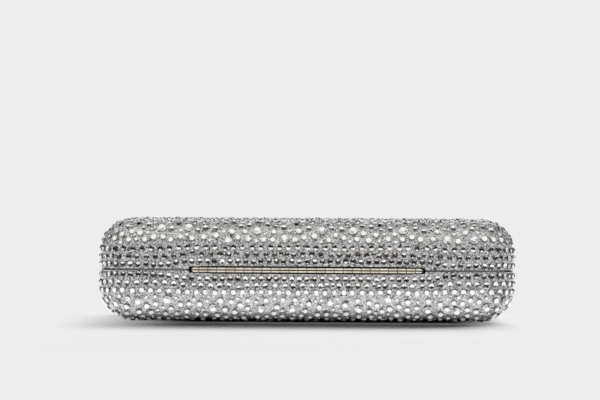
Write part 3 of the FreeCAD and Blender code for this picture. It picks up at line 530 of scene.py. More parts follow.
@dataclass(frozen=True)
class MetalFinish(Finish):
    """Polished strip metal with drawn lines and faint handling marks."""

    dark: Colour
    light: Colour
    roughness: Span = (0.06, 0.16)
    mark_scale: float = 220.0
    mark_span: Span = (0.3, 0.65)
    line_scale: float = 900.0
    line_depth: float = 0.002 * MM
    recess: Span | None = None
    recess_soft: float = 0.15 * MM
    recess_facing: Span = (0.2, -0.2)
    # Painted shade: outward faces within this reach of the seam are painted towards the seam shade colour;
    # 0 for none.
    seam_line: float = 0.0
    seam_depth: float = 0.85
    seam_shade: Colour = (0.24, 0.24, 0.25, 1)
    barrel_slack: float = 1.04
    barrel_flat: float = 0.5
    barrel_lift: float = 0.15
    # Painted shade: beyond these shares of its reach, the barrel's upper and lower edges are painted dark,
    # as in the slot's shade.
    barrel_edge: Span = (0.76, 0.88)
    barrel_back: float = 0.1
    # The painted shade widens over this length towards the barrel's ends, so its lit band narrows there, as
    # if the slot closed over it.
    taper: float = 1.5 * MM
    taper_start: float = 0.25 * MM
    narrowest: float = 0.02
    joint_count: int = 0
    joint_width: float = 0.2 * MM
    # Painted shade for the slot's recess and the barrel's edges and ends; also the colour of the dark
    # joints between the knuckles.
    shadow: Colour = (0.012, 0.01, 0.008, 1)

    def in_recess(self, wiring: Wiring, place: bpy.types.NodeOutputs) -> bpy.types.NodeSocket:
        """Marks the faces that look outward from inside the hinge's slot, which lie in shadow.

        Args:
            wiring: The material's tree.
            place: The outputs with the place's parts.

        Returns:
            The socket with 1 in the slot and 0 beside it.
        """
        near, far = self.recess
        past_near = wiring.smooth(place["Y"], near - self.recess_soft, near)
        before_far = wiring.smooth(place["Y"], far + self.recess_soft, far)
        facing = wiring.parts(wiring.coordinate("Normal"))
        outward = wiring.smooth(facing["Y"], *self.recess_facing)
        return wiring.chain("MULTIPLY", past_near, before_far, outward)

    def in_seam_shade(self, wiring: Wiring, place: bpy.types.NodeOutputs) -> bpy.types.NodeSocket:
        """Marks the dark line that the outward faces show in the seam, which is painted shade of the seam's
        gap.

        Args:
            wiring: The material's tree.
            place: The outputs with the place's parts.

        Returns:
            The socket with the line's depth in the line and 0 beside it.
        """
        facing = wiring.parts(wiring.coordinate("Normal"))
        out_x = wiring.maths("MULTIPLY", facing["X"], place["X"])
        out_y = wiring.maths("MULTIPLY", facing["Y"], place["Y"])
        outward = wiring.maths("GREATER_THAN", wiring.maths("ADD", out_x, out_y), 0.0)
        near = wiring.smooth(wiring.away(place["Z"], seam_level()), self.seam_line, self.seam_line / 2)
        return wiring.chain("MULTIPLY", outward, near, self.seam_depth)

    def on_barrel(self, wiring: Wiring, place: bpy.types.NodeOutputs) -> tuple[Feed, Feed, Feed]:
        """Finds the hinge barrel, its shaded edges, and the smooth way that it faces.

        Args:
            wiring: The material's tree.
            place: The outputs with the place's parts.

        Returns:
            The sockets with 1 on the barrel, with 1 on its shaded upper and lower edges and its ends, and
            with the facing.
        """
        low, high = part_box("hinge_pin")
        middle = (low + high) / 2
        leaf_low, leaf_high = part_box("base_hinge_leaf")
        reach = (middle.y - leaf_low.y) * self.barrel_slack
        arm_y = wiring.maths("SUBTRACT", place["Y"], middle.y)
        arm_z = wiring.maths("SUBTRACT", place["Z"], middle.z)
        arm = wiring.add("VectorMath", {"Vector": wiring.upright(arm_y, arm_z)}, operation="LENGTH")
        near = wiring.maths("LESS_THAN", arm.outputs["Value"], reach)
        eased = wiring.maths("MULTIPLY_ADD", arm_z, self.barrel_flat, self.barrel_lift * reach)
        turned = wiring.to_room(wiring.vectors("NORMALIZE", wiring.upright(arm_y, eased)))
        facing = wiring.mixed(near, wiring.add("NewGeometry").outputs["Normal"], turned)
        tip = leaf_high.x - self.taper_start
        narrow = wiring.smooth(wiring.away(place["X"], middle.x), tip, tip - self.taper)
        narrow = wiring.maths("MAXIMUM", narrow, self.narrowest)
        height = wiring.maths("DIVIDE", wiring.maths("ABSOLUTE", arm_z), narrow)
        edge = wiring.smooth(height, *(share * reach for share in self.barrel_edge))
        front = wiring.maths("LESS_THAN", arm_y, self.barrel_back * reach)
        return near, wiring.chain("MULTIPLY", edge, front, near), facing

    def joints(self, wiring: Wiring, across: Feed) -> bpy.types.NodeSocket:
        """Marks the joints between the hinge's knuckles.

        Args:
            wiring: The material's tree.
            across: The place along the hinge.

        Returns:
            The socket with 1 in a joint and 0 beside it.
        """
        low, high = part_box("base_hinge_leaf")
        other_low, other_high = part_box("lid_hinge_leaf")
        start = min(low.x, other_low.x)
        pitch = (max(high.x, other_high.x) - start) / self.joint_count
        width = self.joint_width / pitch
        steps = wiring.maths("DIVIDE", wiring.maths("SUBTRACT", across, start), pitch)
        return wiring.smooth(wiring.away(steps, wiring.maths("ROUND", steps)), width, width / 2)

    def material(self) -> bpy.types.Material:
        """Builds the metal's material.

        Returns:
            The material.
        """
        material, wiring, shader = self.start()
        lines = DrawnLines().place(wiring, Scale=self.line_scale)["Shade"]
        marks = SoftMottle().place(wiring, Scale=self.mark_scale)["Shade"]
        shade = wiring.shaded(marks, self.mark_span, self.dark, self.light)
        place = wiring.parts(wiring.coordinate("Object"))
        if self.recess:
            shade = wiring.mixed(self.in_recess(wiring, place), shade, self.shadow)
        # Painted shade in the seam's gap.
        if self.seam_line:
            shade = wiring.mixed(self.in_seam_shade(wiring, place), shade, self.seam_shade)
        if self.joint_count:
            # The barrel's edges and ends get painted shade, and the joints get their dark colour.
            near, edge, facing = self.on_barrel(wiring, place)
            joints = wiring.maths("MULTIPLY", near, self.joints(wiring, place["X"]))
            shade = wiring.mixed(wiring.maths("MAXIMUM", joints, edge), shade, self.shadow)
            wiring.fill(shader, {"Normal": facing})
        else:
            self.bumped(wiring, shader, lines, self.line_depth)
        roughness = wiring.spread(lines, *self.roughness)
        wiring.fill(shader, {"Base Color": shade, "Metallic": 1.0, "Roughness": roughness})
        return material


@dataclass(frozen=True)
class NapFinish(Finish):
    """Short-napped lining cloth with brushed patches."""

    dark: Colour
    light: Colour
    shade_span: Span = (0.3, 0.7)
    nap_scale: float = 2600.0
    nap_detail: float = 2.0
    nap_share: float = 0.75
    nap_depth: float = 0.08 * MM
    patch_scale: float = 45.0
    patch_detail: float = 5.0
    sheen: float = 0.1
    roughness: Span = (0.82, 0.98)

    def material(self) -> bpy.types.Material:
        """Builds the cloth's material.

        Returns:
            The material.
        """
        material, wiring, shader = self.start()
        nap = SoftMottle().place(wiring, Scale=self.nap_scale, Detail=self.nap_detail)["Shade"]
        patches = SoftMottle().place(wiring, Scale=self.patch_scale, Detail=self.patch_detail)["Shade"]
        both = wiring.add("Mix", {"Factor": self.nap_share, "A": patches, "B": nap}).outputs["Result"]
        sockets = {
            "Base Color": wiring.shaded(both, self.shade_span, self.dark, self.light),
            "Roughness": wiring.spread(patches, *self.roughness),
            "Sheen Weight": self.sheen,
        }
        wiring.fill(shader, sockets)
        self.bumped(wiring, shader, nap, self.nap_depth)
        return material


@dataclass(frozen=True)
class MouldedFinish(Finish):
    """Dark moulded plastic with a fine eroded grain."""

    dark: Colour = (0.012, 0.012, 0.013, 1)
    light: Colour = (0.03, 0.03, 0.032, 1)
    shade_span: Span = (0.3, 0.7)
    patch_scale: float = 80.0
    grain_scale: float = 1500.0
    grain_depth: float = 0.02 * MM
    roughness: Span = (0.45, 0.65)

    def material(self) -> bpy.types.Material:
        """Builds the plastic's material.

        Returns:
            The material.
        """
        material, wiring, shader = self.start()
        grain = SoftMottle().place(wiring, Scale=self.grain_scale)["Shade"]
        patches = SoftMottle().place(wiring, Scale=self.patch_scale)["Shade"]
        shade = wiring.shaded(patches, self.shade_span, self.dark, self.light)
        wiring.fill(shader, {"Base Color": shade, "Roughness": wiring.spread(grain, *self.roughness)})
        self.bumped(wiring, shader, grain, self.grain_depth)
        return material


@dataclass(frozen=True)
class FloorFinish(Finish):
    """Pale floor that keeps the case's shadow near it, and is a plain card further away and in mirrors."""

    pale: float
    colour: Colour = (0.7, 0.7, 0.7, 1)
    dim: float = 0.985
    mottle_scale: float = 35.0
    mottle_span: Span = (0.3, 0.7)
    roughness: float = 0.9
    gloss: float = 0.1
    mirror_glow: float = 1.0
    mirror_fade: Span = (-12.5 * MM, -1.5 * MM)
    left_fade: Span = (-0.048, -0.112)
    right_fade: Span = (0.06, 0.105)
    front_fade: Span = (-0.12, -0.3)
    back_fade: Span = (0.02, 0.07)

    def far_off(self, wiring: Wiring, place: bpy.types.NodeOutputs) -> bpy.types.NodeSocket:
        """Marks the floor that is far enough from the case to be the plain card.

        Args:
            wiring: The material's tree.
            place: The outputs with the place's parts.

        Returns:
            The socket with 1 on the card and 0 near the case.
        """
        left = wiring.smooth(place["X"], *self.left_fade)
        right = wiring.smooth(place["X"], *self.right_fade)
        front = wiring.smooth(place["Y"], *self.front_fade)
        back = wiring.smooth(place["Y"], *self.back_fade)
        return wiring.chain("MAXIMUM", left, right, front, back)

    def mirrored(self, wiring: Wiring, place: bpy.types.NodeOutputs) -> bpy.types.NodeSocket:
        """Marks the floor that mirrors show as the card: all but the dark part under the case.

        Args:
            wiring: The material's tree.
            place: The outputs with the place's parts.

        Returns:
            The socket with 1 on the card and 0 under the case.
        """
        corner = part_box("base_cover")[1]
        past_x = wiring.maths("SUBTRACT", wiring.maths("ABSOLUTE", place["X"]), corner.x)
        past_y = wiring.maths("SUBTRACT", wiring.maths("ABSOLUTE", place["Y"]), corner.y)
        return wiring.smooth(wiring.maths("MAXIMUM", past_x, past_y), *self.mirror_fade)

    def material(self) -> bpy.types.Material:
        """Builds the floor's material.

        Returns:
            The material.
        """
        material, wiring, shader = self.start()
        mottle = SoftMottle().place(wiring, Scale=self.mottle_scale)["Shade"]
        dark = tuple(value * self.dim for value in self.colour[:3]) + (1,)
        shade = wiring.shaded(mottle, self.mottle_span, dark, self.colour)
        sockets = {"Base Color": shade, "Roughness": self.roughness, "Specular IOR Level": self.gloss}
        wiring.fill(shader, sockets)
        place = wiring.parts(wiring.add("NewGeometry").outputs["Position"])
        path = wiring.add("LightPath").outputs
        shiny = wiring.maths("MAXIMUM", path["Is Glossy Ray"], path["Is Transmission Ray"])
        in_view = wiring.maths("MULTIPLY", path["Is Camera Ray"], self.far_off(wiring, place))
        in_mirrors = wiring.maths("MULTIPLY", shiny, self.mirrored(wiring, place))
        strength = wiring.spread(path["Is Camera Ray"], self.mirror_glow, self.pale)
        card = wiring.add("Emission", {"Strength": strength})
        mix = wiring.add("MixShader", {"Fac": wiring.maths("MAXIMUM", in_view, in_mirrors)})
        for socket, part in zip(mix.inputs[1:], (shader.outputs["BSDF"], card.outputs["Emission"])):
            wiring.feed(socket, part)
        wiring.fill(material.node_tree.nodes["Material Output"], {"Surface": mix.outputs["Shader"]})
        return material


@dataclass
class CoverSurface:
    """Outer face of one half's covering: an upright wall, a rounded edge and a broad face."""

    half: Half
    plan_radius: float = 15 * MM
    edge_radius: float = 13.5 * MM
    reach: Vector = field(init=False)
    mouth: float = field(init=False)
    face: float = field(init=False)

    def __post_init__(self) -> None:
        """Reads the covering's size from the frame."""
        low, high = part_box(f"{self.half.value}_cover")
        self.reach = high
        self.mouth, self.face = (low.z, high.z) if self.half is Half.LID else (high.z, low.z)

    @property
    def straight(self) -> float:
        """Gives the height of the upright wall."""
        return abs(self.face - self.mouth) - self.edge_radius

    @property
    def wall_climb(self) -> float:
        """Gives the way over the surface from the mouth to the start of the broad face."""
        return self.straight + self.edge_radius * math.pi / 2

    def tilt(self, climb: float) -> float:
        """Gives the angle by which the surface has turned from the upright wall."""
        return min(max((climb - self.straight) / self.edge_radius, 0), math.pi / 2)

    def inset(self, climb: float) -> float:
        """Gives how far the surface has turned in from the upright wall."""
        return self.edge_radius * (1 - math.cos(self.tilt(climb)))

    def ring_length(self, inset: float) -> float:
        """Gives the length of the plan outline at an inset."""
        runs = self.reach.x + self.reach.y - 2 * self.plan_radius
        return 4 * runs + 2 * math.pi * (self.plan_radius - inset)

    def outline(self, distance: float, inset: float) -> Place:
        """Walks round the plan outline from the middle of the hinge side towards +X.

        Args:
            distance: The length of the walk.
            inset: How far the outline lies inside the covering.

        Returns:
            The point in plan, and the outward way there.
        """
        reach = self.reach
        radius = self.plan_radius - inset
        arc = radius * math.pi / 2
        distance = distance % self.ring_length(inset) + reach.x - self.plan_radius
        side = 0
        while True:
            far, half_run = (reach.y, reach.x) if side % 2 == 0 else (reach.x, reach.y)
            half_run -= self.plan_radius
            facing = math.pi / 2 * (side - 1)
            out = heading(facing)
            along = Vector((-out.y, out.x, 0))
            if distance <= 2 * half_run:
                return out * (far - inset) + along * (distance - half_run), out
            distance -= 2 * half_run
            if distance <= arc:
                centre = out * (far - self.plan_radius) + along * half_run
                out = heading(facing + distance / radius)
                return centre + out * radius, out
            distance -= arc
            side += 1

    def on_wall(self, share: float, climb: float) -> Place:
        """Finds a place on the wall or the rounded edge.

        Args:
            share: The share of the way round from the middle of the hinge side.
            climb: The way over the surface from the mouth.

        Returns:
            The point, and the surface's outward way.
        """
        inset = self.inset(climb)
        tilt = self.tilt(climb)
        point, out = self.outline(share * self.ring_length(inset), inset)
        rise = min(climb, self.straight) + self.edge_radius * math.sin(tilt)
        point.z = self.mouth + self.half.up * rise
        return point, out * math.cos(tilt) + UP * (self.half.up * math.sin(tilt))


@dataclass
class Spot:
    """Place of one stone: the middle of its back, its outward way and its radius."""

    point: Vector
    way: Vector
    radius: float


class SpotGrid:
    """Finds the stones near a place."""

    def __init__(self, cell: float) -> None:
        """Starts an empty grid with cells of one size."""
        self.cell = cell
        self.cells: dict[tuple[int, ...], list[Spot]] = defaultdict(list)

    def key(self, point: Vector) -> tuple[int, ...]:
        """Gives the cell of a point."""
        return tuple(math.floor(value / self.cell) for value in point)

    def add(self, spot: Spot) -> None:
        """Keeps a stone's place."""
        self.cells[self.key(spot.point)].append(spot)

    def clear(self, point: Vector, radius: float, gap: float) -> bool:
        """Tells whether a stone fits at a place.

        Args:
            point: The middle of the new stone's back.
            radius: The new stone's radius.
            gap: The least gap to its neighbours.

        Returns:
            True if no stone is too near.
        """
        for key in product(*((cell - 1, cell, cell + 1) for cell in self.key(point))):
            for other in self.cells.get(key, ()):
                if (other.point - point).length < other.radius + radius + gap:
                    return False
        return True


class StoneMesh:
    """Gathers many stones into one mesh, with the facing of the foil behind each facet and each facet's
    tint, in which shade and glints are painted.
    """

    FOIL = "foil_facing"
    TINT = "facet_tint_and_painted_light"

    def __init__(self, name: str) -> None:
        """Starts an empty mesh.

        Args:
            name: The name of the mesh and of its piece.
        """
        self.name = name
        self.points: list[Vector] = []
        self.faces: list[tuple[int, ...]] = []
        self.facings: list[Vector] = []
        self.tints: list[Colour] = []

    def corners(self, points: Iterable[Vector]) -> list[int]:
        """Adds corners.

        Args:
            points: The corners' places.

        Returns:
            Their numbers in the mesh.
        """
        first = len(self.points)
        self.points.extend(points)
        return list(range(first, len(self.points)))

    def face(self, corners: Iterable[int], facing: Vector, tint: Colour) -> None:
        """Adds a facet.

        Args:
            corners: The numbers of its corners.
            facing: The way that the foil behind it faces.
            tint: The facet's colour, in which shade and glints are painted.
        """
        self.faces.append(tuple(corners))
        self.facings.append(facing)
        self.tints.append(tint)

    def build(self, material: bpy.types.Material, half: Half) -> bpy.types.Object:
        """Makes the piece and lets it ride on its half.

        Args:
            material: The stones' material.
            half: The half that carries them.

        Returns:
            The new piece.
        """
        mesh = bpy.data.meshes.new(self.name)
        mesh.from_pydata(self.points, [], self.faces)
        facings = mesh.attributes.new(self.FOIL, "FLOAT_VECTOR", "FACE")
        facings.data.foreach_set("vector", [value for facing in self.facings for value in facing])
        tints = mesh.attributes.new(self.TINT, "FLOAT_COLOR", "FACE")
        tints.data.foreach_set("color", [value for tint in self.tints for value in tint])
        mesh.materials.append(material)
        piece = placed(self.name, mesh)
        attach(piece, half.value)
        return piece


@dataclass
class Setting:
    """One stone in the making: its own axes, the mesh that takes it and the numbers that it draws."""

    mesh: StoneMesh
    spot: Spot
    lift: float
    draw: random.Random
    axis: Vector = field(init=False)
    across: Vector = field(init=False)
    along: Vector = field(init=False)
    lifted: Vector = field(init=False)
    rise: float = field(init=False)

    def __post_init__(self) -> None:
        """Works out the stone's axes, how far it faces up, and how its lifted foil faces."""
        self.axis = self.spot.way.normalized()
        self.across = self.axis.orthogonal().normalized()
        self.across.rotate(Quaternion(self.axis, self.draw.uniform(0, 2 * math.pi)))
        self.along = self.axis.cross(self.across)
        self.lifted = (self.axis + UP * (math.tan(self.lift) * (1 - abs(self.axis.z)))).normalized()
        self.rise = max(self.axis.z, 0)

    def outward(self, turn: float) -> Vector:
        """Gives the way out from the stone's axis at an angle."""
        return self.across * math.cos(turn) + self.along * math.sin(turn)

    def ring(self, count: int, radius_share: float, rise_share: float, offset: float = 0.0) -> list[int]:
        """Adds a ring of corners.

        Args:
            count: How many corners it has.
            radius_share: Its radius, as a share of the stone's.
            rise_share: Its height over the back, as a share of the stone's radius.
            offset: The share of a step by which its corners are turned.

        Returns:
            The corners' numbers in the mesh.
        """
        base = self.spot.point + self.axis * (rise_share * self.spot.radius)
        turns = [2 * math.pi * (i + offset) / count for i in range(count)]
        return self.mesh.corners(
            base + self.outward(turn) * (radius_share * self.spot.radius) for turn in turns
        )


@dataclass(frozen=True)
class StoneCut:
    """Cut of a flat-backed stone, with its heights as shares of its radius."""

    cut: Cut
    sides: int = 8
    height_share: float = 0.95
    girdle_share: float = 0.25
    shoulder_share: float = 0.87
    shoulder_rise: float = 0.64
    table_share: float = 0.58
    star_share: float = 0.82
    foil_tilt: float = math.radians(-8)
    foil_spread: float = math.radians(2)
    table_tilt: float = math.radians(-5)
    table_spread: float = math.radians(1.5)
    flat_power: int = 2
    # Painted shade: the crown and girdle levels lie below the table's, which paints a dark ring round each
    # stone.
    table_shades: Span = (0.92, 1.0)
    crown_shades: Span = (0.05, 0.3)
    girdle_shades: Span = (0.25, 0.4)
    # Painted light: a stone's crown and girdle are painted paler as it faces up.
    pale_crown: float = 0.85
    pale_power: int = 3
    # Painted shade on the low side of stones in the belt where the lid bends to its broad top.
    low_dark: float = 2.3
    bent_middle: float = 0.765
    bent_reach: float = 0.13
    bent_soft: float = 0.06
    # Painted glints: the chances that a facet is painted as a warm or a blue flash of fire.
    crown_fire: float = 0.02
    table_fire: float = 0.012
    warm_share: float = 0.95
    warm_flash: Colour = (0.5, 0.3, 0.2, 1)
    blue_flash: Colour = (0.25, 0.35, 0.86, 1)

    @property
    def step(self) -> float:
        """Gives the angle from one side of the stone to the next."""
        return 2 * math.pi / self.sides

    @property
    def rim_count(self) -> int:
        """Gives the number of corners round the girdle."""
        return self.sides if self.cut is Cut.PLAIN else 2 * self.sides

    def pale(self, setting: Setting) -> float:
        """Gives how much paler a stone's sides are painted as it faces up; the paleness is painted light.
        """
        return self.pale_crown * setting.rise ** self.pale_power

    def low_side_shade(self, setting: Setting, turn: float) -> float:
        """Gives how much painted shade darkens the low side of a stone, in the belt where the lid bends to
        its broad top.

        Args:
            setting: The stone.
            turn: The angle of the facet.

        Returns:
            The darkness, from 0 to 1.
        """
        bent = (self.bent_reach - abs(setting.axis.z - self.bent_middle)) / self.bent_soft
        return clamp(bent) * clamp(-setting.outward(turn).z * self.low_dark)

    def tint(self, setting: Setting, shades: Span, fire: float) -> Colour:
        """Picks a facet's colour: mostly silver at a level from its painted shades, now and then a warm or
        a blue flash, which is a painted glint.

        Args:
            setting: The stone.
            shades: The least and the greatest brightness of the facet.
            fire: The chance of a flash, a painted glint.

        Returns:
            The facet's colour.
        """
        chance = setting.draw.random()
        if chance < fire * self.warm_share:
            return self.warm_flash
        if chance < fire:
            return self.blue_flash
        level = setting.draw.uniform(*shades)
        return (level, level, level, 1)

    def foil(self, setting: Setting, turn: float, tilt: float, spread: float) -> Vector:
        """Picks the way that the hollow foil under a facet faces; it is flatter where the stone faces up.

        Args:
            setting: The stone.
            turn: The angle of the facet.
            tilt: How far the foil leans out from the stone's axis.
            spread: The most by which the lean differs from facet to facet.

        Returns:
            The facing.
        """
        lean = (tilt + setting.draw.uniform(-spread, spread)) * (1 - setting.rise ** self.flat_power)
        return (setting.lifted * math.cos(lean) + setting.outward(turn) * math.sin(lean)).normalized()

    def add(self, setting: Setting) -> None:
        """Cuts one stone into its mesh.

        Args:
            setting: The stone.
        """
        back = setting.ring(self.rim_count, 1, 0)
        girdle = setting.ring(self.rim_count, 1, self.girdle_share)
        table = setting.ring(self.sides, self.table_share, self.height_share)
        self.add_sides(setting, back, girdle)
        self.add_table(setting, table)
        add_crown = self.add_plain_crown if self.cut is Cut.PLAIN else self.add_brilliant_crown
        add_crown(setting, girdle, table)

    def add_sides(self, setting: Setting, back: list[int], girdle: list[int]) -> None:
        """Adds the flat back and the girdle.

        Args:
            setting: The stone.
            back: The corners of its back.
            girdle: The upper corners of its girdle.
        """
        setting.mesh.face(back[::-1], -setting.axis, self.tint(setting, self.girdle_shades, 0))
        # Painted shade on the girdle, painted paler as the stone faces up.
        pale = self.pale(setting)
        shades = paled(self.girdle_shades, pale)
        for i in range(self.rim_count):
            after = (i + 1) % self.rim_count
            turn = 2 * math.pi * (i + 0.5) / self.rim_count
            facing = (setting.outward(turn) + setting.axis * pale).normalized()
            corners = (back[i], back[after], girdle[after], girdle[i])
            setting.mesh.face(corners, facing, self.tint(setting, shades, 0))

    def add_table(self, setting: Setting, table: list[int]) -> None:
        """Adds the flat top, in wedges with foil of their own.

        Args:
            setting: The stone.
            table: The corners of its table.
        """
        middle = setting.ring(1, 0, self.height_share)[0]
        for i in range(self.sides):
            corners = (middle, table[i], table[(i + 1) % self.sides])
            facing = self.foil(setting, self.step * (i + 0.5), self.table_tilt, self.table_spread)
            setting.mesh.face(corners, facing, self.tint(setting, self.table_shades, self.table_fire))

    def add_plain_crown(self, setting: Setting, girdle: list[int], table: list[int]) -> None:
        """Adds a crown of two plain rings of facets, the lower one painted darker as shade.

        Args:
            setting: The stone.
            girdle: The upper corners of its girdle.
            table: The corners of its table.
        """
        shoulder = setting.ring(self.sides, self.shoulder_share, self.shoulder_rise)
        pale = self.pale(setting)
        for i in range(self.sides):
            after = (i + 1) % self.sides
            turn = self.step * (i + 0.5)
            facing = self.foil(setting, turn, self.foil_tilt, self.foil_spread)
            # Painted shade on the low side dims the upper facet and keeps the lower one from being painted
            # paler.
            lit = 1 - self.low_side_shade(setting, turn)
            low, high = self.table_shades
            tint = self.tint(setting, (low * lit, high * lit), self.table_fire)
            setting.mesh.face((shoulder[i], shoulder[after], table[after], table[i]), facing, tint)
            tint = self.tint(setting, paled(self.crown_shades, pale * lit), self.crown_fire)
            setting.mesh.face((girdle[i], girdle[after], shoulder[after], shoulder[i]), facing, tint)

    def add_brilliant_crown(self, setting: Setting, girdle: list[int], table: list[int]) -> None:
        """Adds a crown of stars, kites and halves.

        Args:
            setting: The stone.
            girdle: The upper corners of its girdle.
            table: The corners of its table.
        """
        slope = (self.girdle_share - self.height_share) / (1 - self.table_share)
        reach = self.star_share * math.cos(self.step / 2) - self.table_share
        star = setting.ring(self.sides, self.star_share, self.height_share + slope * reach, 0.5)
        # Painted shade on the crown, painted paler as the stone faces up.
        shades = paled(self.crown_shades, self.pale(setting))
        for i in range(self.sides):
            after = (i + 1) % self.sides
            rim = [girdle[(2 * i + k) % self.rim_count] for k in range(3)]
            facets = (
                ((table[i], star[i - 1], rim[0], star[i]), i),
                ((table[i], star[i], table[after]), i + 0.5),
                ((star[i], rim[0], rim[1]), i + 0.25),
                ((star[i], rim[1], rim[2]), i + 0.75),
            )
            for corners, place in facets:
                facing = self.foil(setting, self.step * place, self.foil_tilt, self.foil_spread)
                setting.mesh.face(corners, facing, self.tint(setting, shades, self.crown_fire))


@dataclass
class CrystalField:
    """All the stones of one half: those of the CAD model, cut afresh, and the many between them."""

    half: Half
    seed: int
    scatter_start: float = 10.7 * MM
    row_radii: Span = (1.16 * MM, 1.3 * MM)
    row_jitter: float = 0.11 * MM
    filler_radii: Span = (0.95 * MM, 1.15 * MM)
    filler_gap: float = 0.15 * MM
    medium_radii: Span = (1.15 * MM, 1.45 * MM)
    medium_gap: float = 0.95 * MM
    small_radii: Span = (0.7 * MM, 0.9 * MM)
    small_gap: float = 0.85 * MM
    sink: float = 0.06 * MM
    lean: float = math.radians(2)
    lid_lifts: Span = (math.radians(3), math.radians(7))
    base_lifts: Span = (math.radians(5.5), math.radians(-1))
    lift_near: float = 1.75 * MM
    lift_far: float = 5.1 * MM
    bezel_gap: float = 0.3 * MM
    tries: int = 26000
    grid_cell: float = 4.2 * MM
    weld: float = 0.001 * MM
    order_step: float = 0.01 * MM
    facing_digits: int = 1
    small_cut: StoneCut = StoneCut(Cut.PLAIN)
    large_cut: StoneCut = StoneCut(
        Cut.BRILLIANT,
        height_share=0.77,
        girdle_share=0.23,
        table_share=0.59,
        foil_spread=math.radians(8),
        table_spread=math.radians(6),
        # The large stones' crown facets take a wider range of painted shade.
        crown_shades=(0.15, 0.95),
    )
    surface: CoverSurface = field(init=False)
    grid: SpotGrid = field(init=False)
    draw: random.Random = field(init=False)
    bezel: Place = field(init=False)

    def __post_init__(self) -> None:
        """Reads sizes from the frame, and starts the grid and the random numbers."""
        self.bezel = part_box("clasp_bezel")
        self.surface = CoverSurface(self.half)
        self.grid = SpotGrid(self.grid_cell)
        self.draw = random.Random(self.seed)

    def read_spots(self, node: bpy.types.Object) -> list[Spot]:
        """Reads the places of stones from their CAD node, in an order that is the same in each run.

        Args:
            node: The CAD node, whose stones are separate islands.

        Returns:
            One spot for each stone.
        """
        cut = bmesh.new()
        cut.from_mesh(node.data)
        bmesh.ops.remove_doubles(cut, verts=cut.verts, dist=self.weld)
        waiting = set(cut.verts)
        spots = []
        for start in cut.verts:
            if start not in waiting:
                continue
            waiting.remove(start)
            island = [start]
            for corner in island:
                for edge in corner.link_edges:
                    other = edge.other_vert(corner)
                    if other in waiting:
                        waiting.remove(other)
                        island.append(other)
            spots.append(self.stone_spot(island))
        cut.free()
        return sorted(spots, key=lambda spot: tuple(round(value / self.order_step) for value in spot.point))

    def stone_spot(self, island: list[bmesh.types.BMVert]) -> Spot:
        """Works out where one stone of a CAD node sits, from its flat back.

        Args:
            island: The stone's corners.

        Returns:
            The middle of its back, its outward way and its radius.
        """
        points = [corner.co.copy() for corner in island]
        middle = sum(points, Vector()) / len(points)
        plates = defaultdict(Vector)
        for face in dict.fromkeys(face for corner in island for face in corner.link_faces):
            facing = tuple(round(value, self.facing_digits) for value in face.normal)
            plates[facing] += face.normal * face.calc_area()
        way = -max(plates.values(), key=lambda plate: plate.length).normalized()
        level = min(way.dot(point) for point in points)
        point = middle + way * (level - way.dot(middle))
        radius = max((corner - point - way * way.dot(corner - point)).length for corner in points)
        return Spot(point, way, radius)

    def leaning(self, way: Vector) -> Vector:
        """Tips a stone a little from the surface's outward way, as one set by hand is."""
        tip = Vector([self.draw.gauss(0, math.tan(self.lean)) for _ in range(3)])
        return (way + tip).normalized()

    def lift(self, spot: Spot) -> float:
        """Gives how far the foil behind a stone faces up, which differs at the seam and away from it.

        Args:
            spot: The stone's place.

        Returns:
            The angle.
        """
        climb = abs(spot.point.z - self.surface.mouth)
        share = (climb - self.lift_near) / (self.lift_far - self.lift_near)
        at_seam, further = self.lid_lifts if self.half is Half.LID else self.base_lifts
        return at_seam + (further - at_seam) * clamp(share)

    def off_bezel(self, point: Vector, radius: float) -> bool:
        """Tells whether a stone keeps clear of the clasp's bezel.

        Args:
            point: The middle of the stone's back.
            radius: The stone's radius.

        Returns:
            True if it does.
        """
        low, high = self.bezel
        near = radius + self.bezel_gap
        inside = (low.x - near < point.x < high.x + near, low.z - near < point.z < high.z + near)
        return point.y < 0 or not all(inside)

    def settle(self, point: Vector, way: Vector, radius: float, gap: float) -> Spot | None:
        """Sets a stone where there is room for it.

        Args:
            point: A place on the covering.
            way: The surface's outward way there.
            radius: The stone's radius.
            gap: The least gap to its neighbours.

        Returns:
            The stone's spot, or None.
        """
        if not self.off_bezel(point, radius) or not self.grid.clear(point, radius, gap):
            return None
        self.grid.add(Spot(point, way, radius))
        return Spot(point - way * self.sink, self.leaning(way), radius)

    def seam_rows(self, node: bpy.types.Object) -> Iterator[Spot]:
        """Sets the neat rows beside the seam where their CAD node has them, a little unevenly.

        Args:
            node: The CAD node of the rows.

        Yields:
            One spot for each stone.
        """
        for spot in self.read_spots(node):
            self.grid.add(spot)
            slip = Vector([self.draw.gauss(0, self.row_jitter) for _ in range(3)])
            slip -= spot.way * (slip.dot(spot.way) + self.sink)
            radius = self.draw.uniform(*self.row_radii)
            yield Spot(spot.point + slip, self.leaning(spot.way), radius)

    def row_place(self) -> Place:
        """Picks a random place among the neat rows, where a stone of theirs may be missing."""
        climb = self.draw.uniform(self.lift_far, self.scatter_start - self.medium_gap)
        return self.surface.on_wall(self.draw.random(), climb)

    def wall_place(self) -> Place | None:
        """Picks a random place on the rounded edge.

        Returns:
            The point and the outward way, or None where the narrower rings get fewer stones.
        """
        surface = self.surface
        climb = self.draw.uniform(self.scatter_start, surface.wall_climb)
        narrow = surface.ring_length(surface.inset(climb)) / surface.ring_length(0)
        share = self.draw.random()
        return surface.on_wall(share, climb) if self.draw.random() < narrow else None

    def face_place(self) -> Place:
        """Picks a random place on the broad face.

        Returns:
            The point and the outward way.
        """
        reach = self.surface.reach
        edge = self.surface.edge_radius
        x = self.draw.uniform(edge - reach.x, reach.x - edge)
        y = self.draw.uniform(edge - reach.y, reach.y - edge)
        return Vector((x, y, self.surface.face)), UP * self.half.up

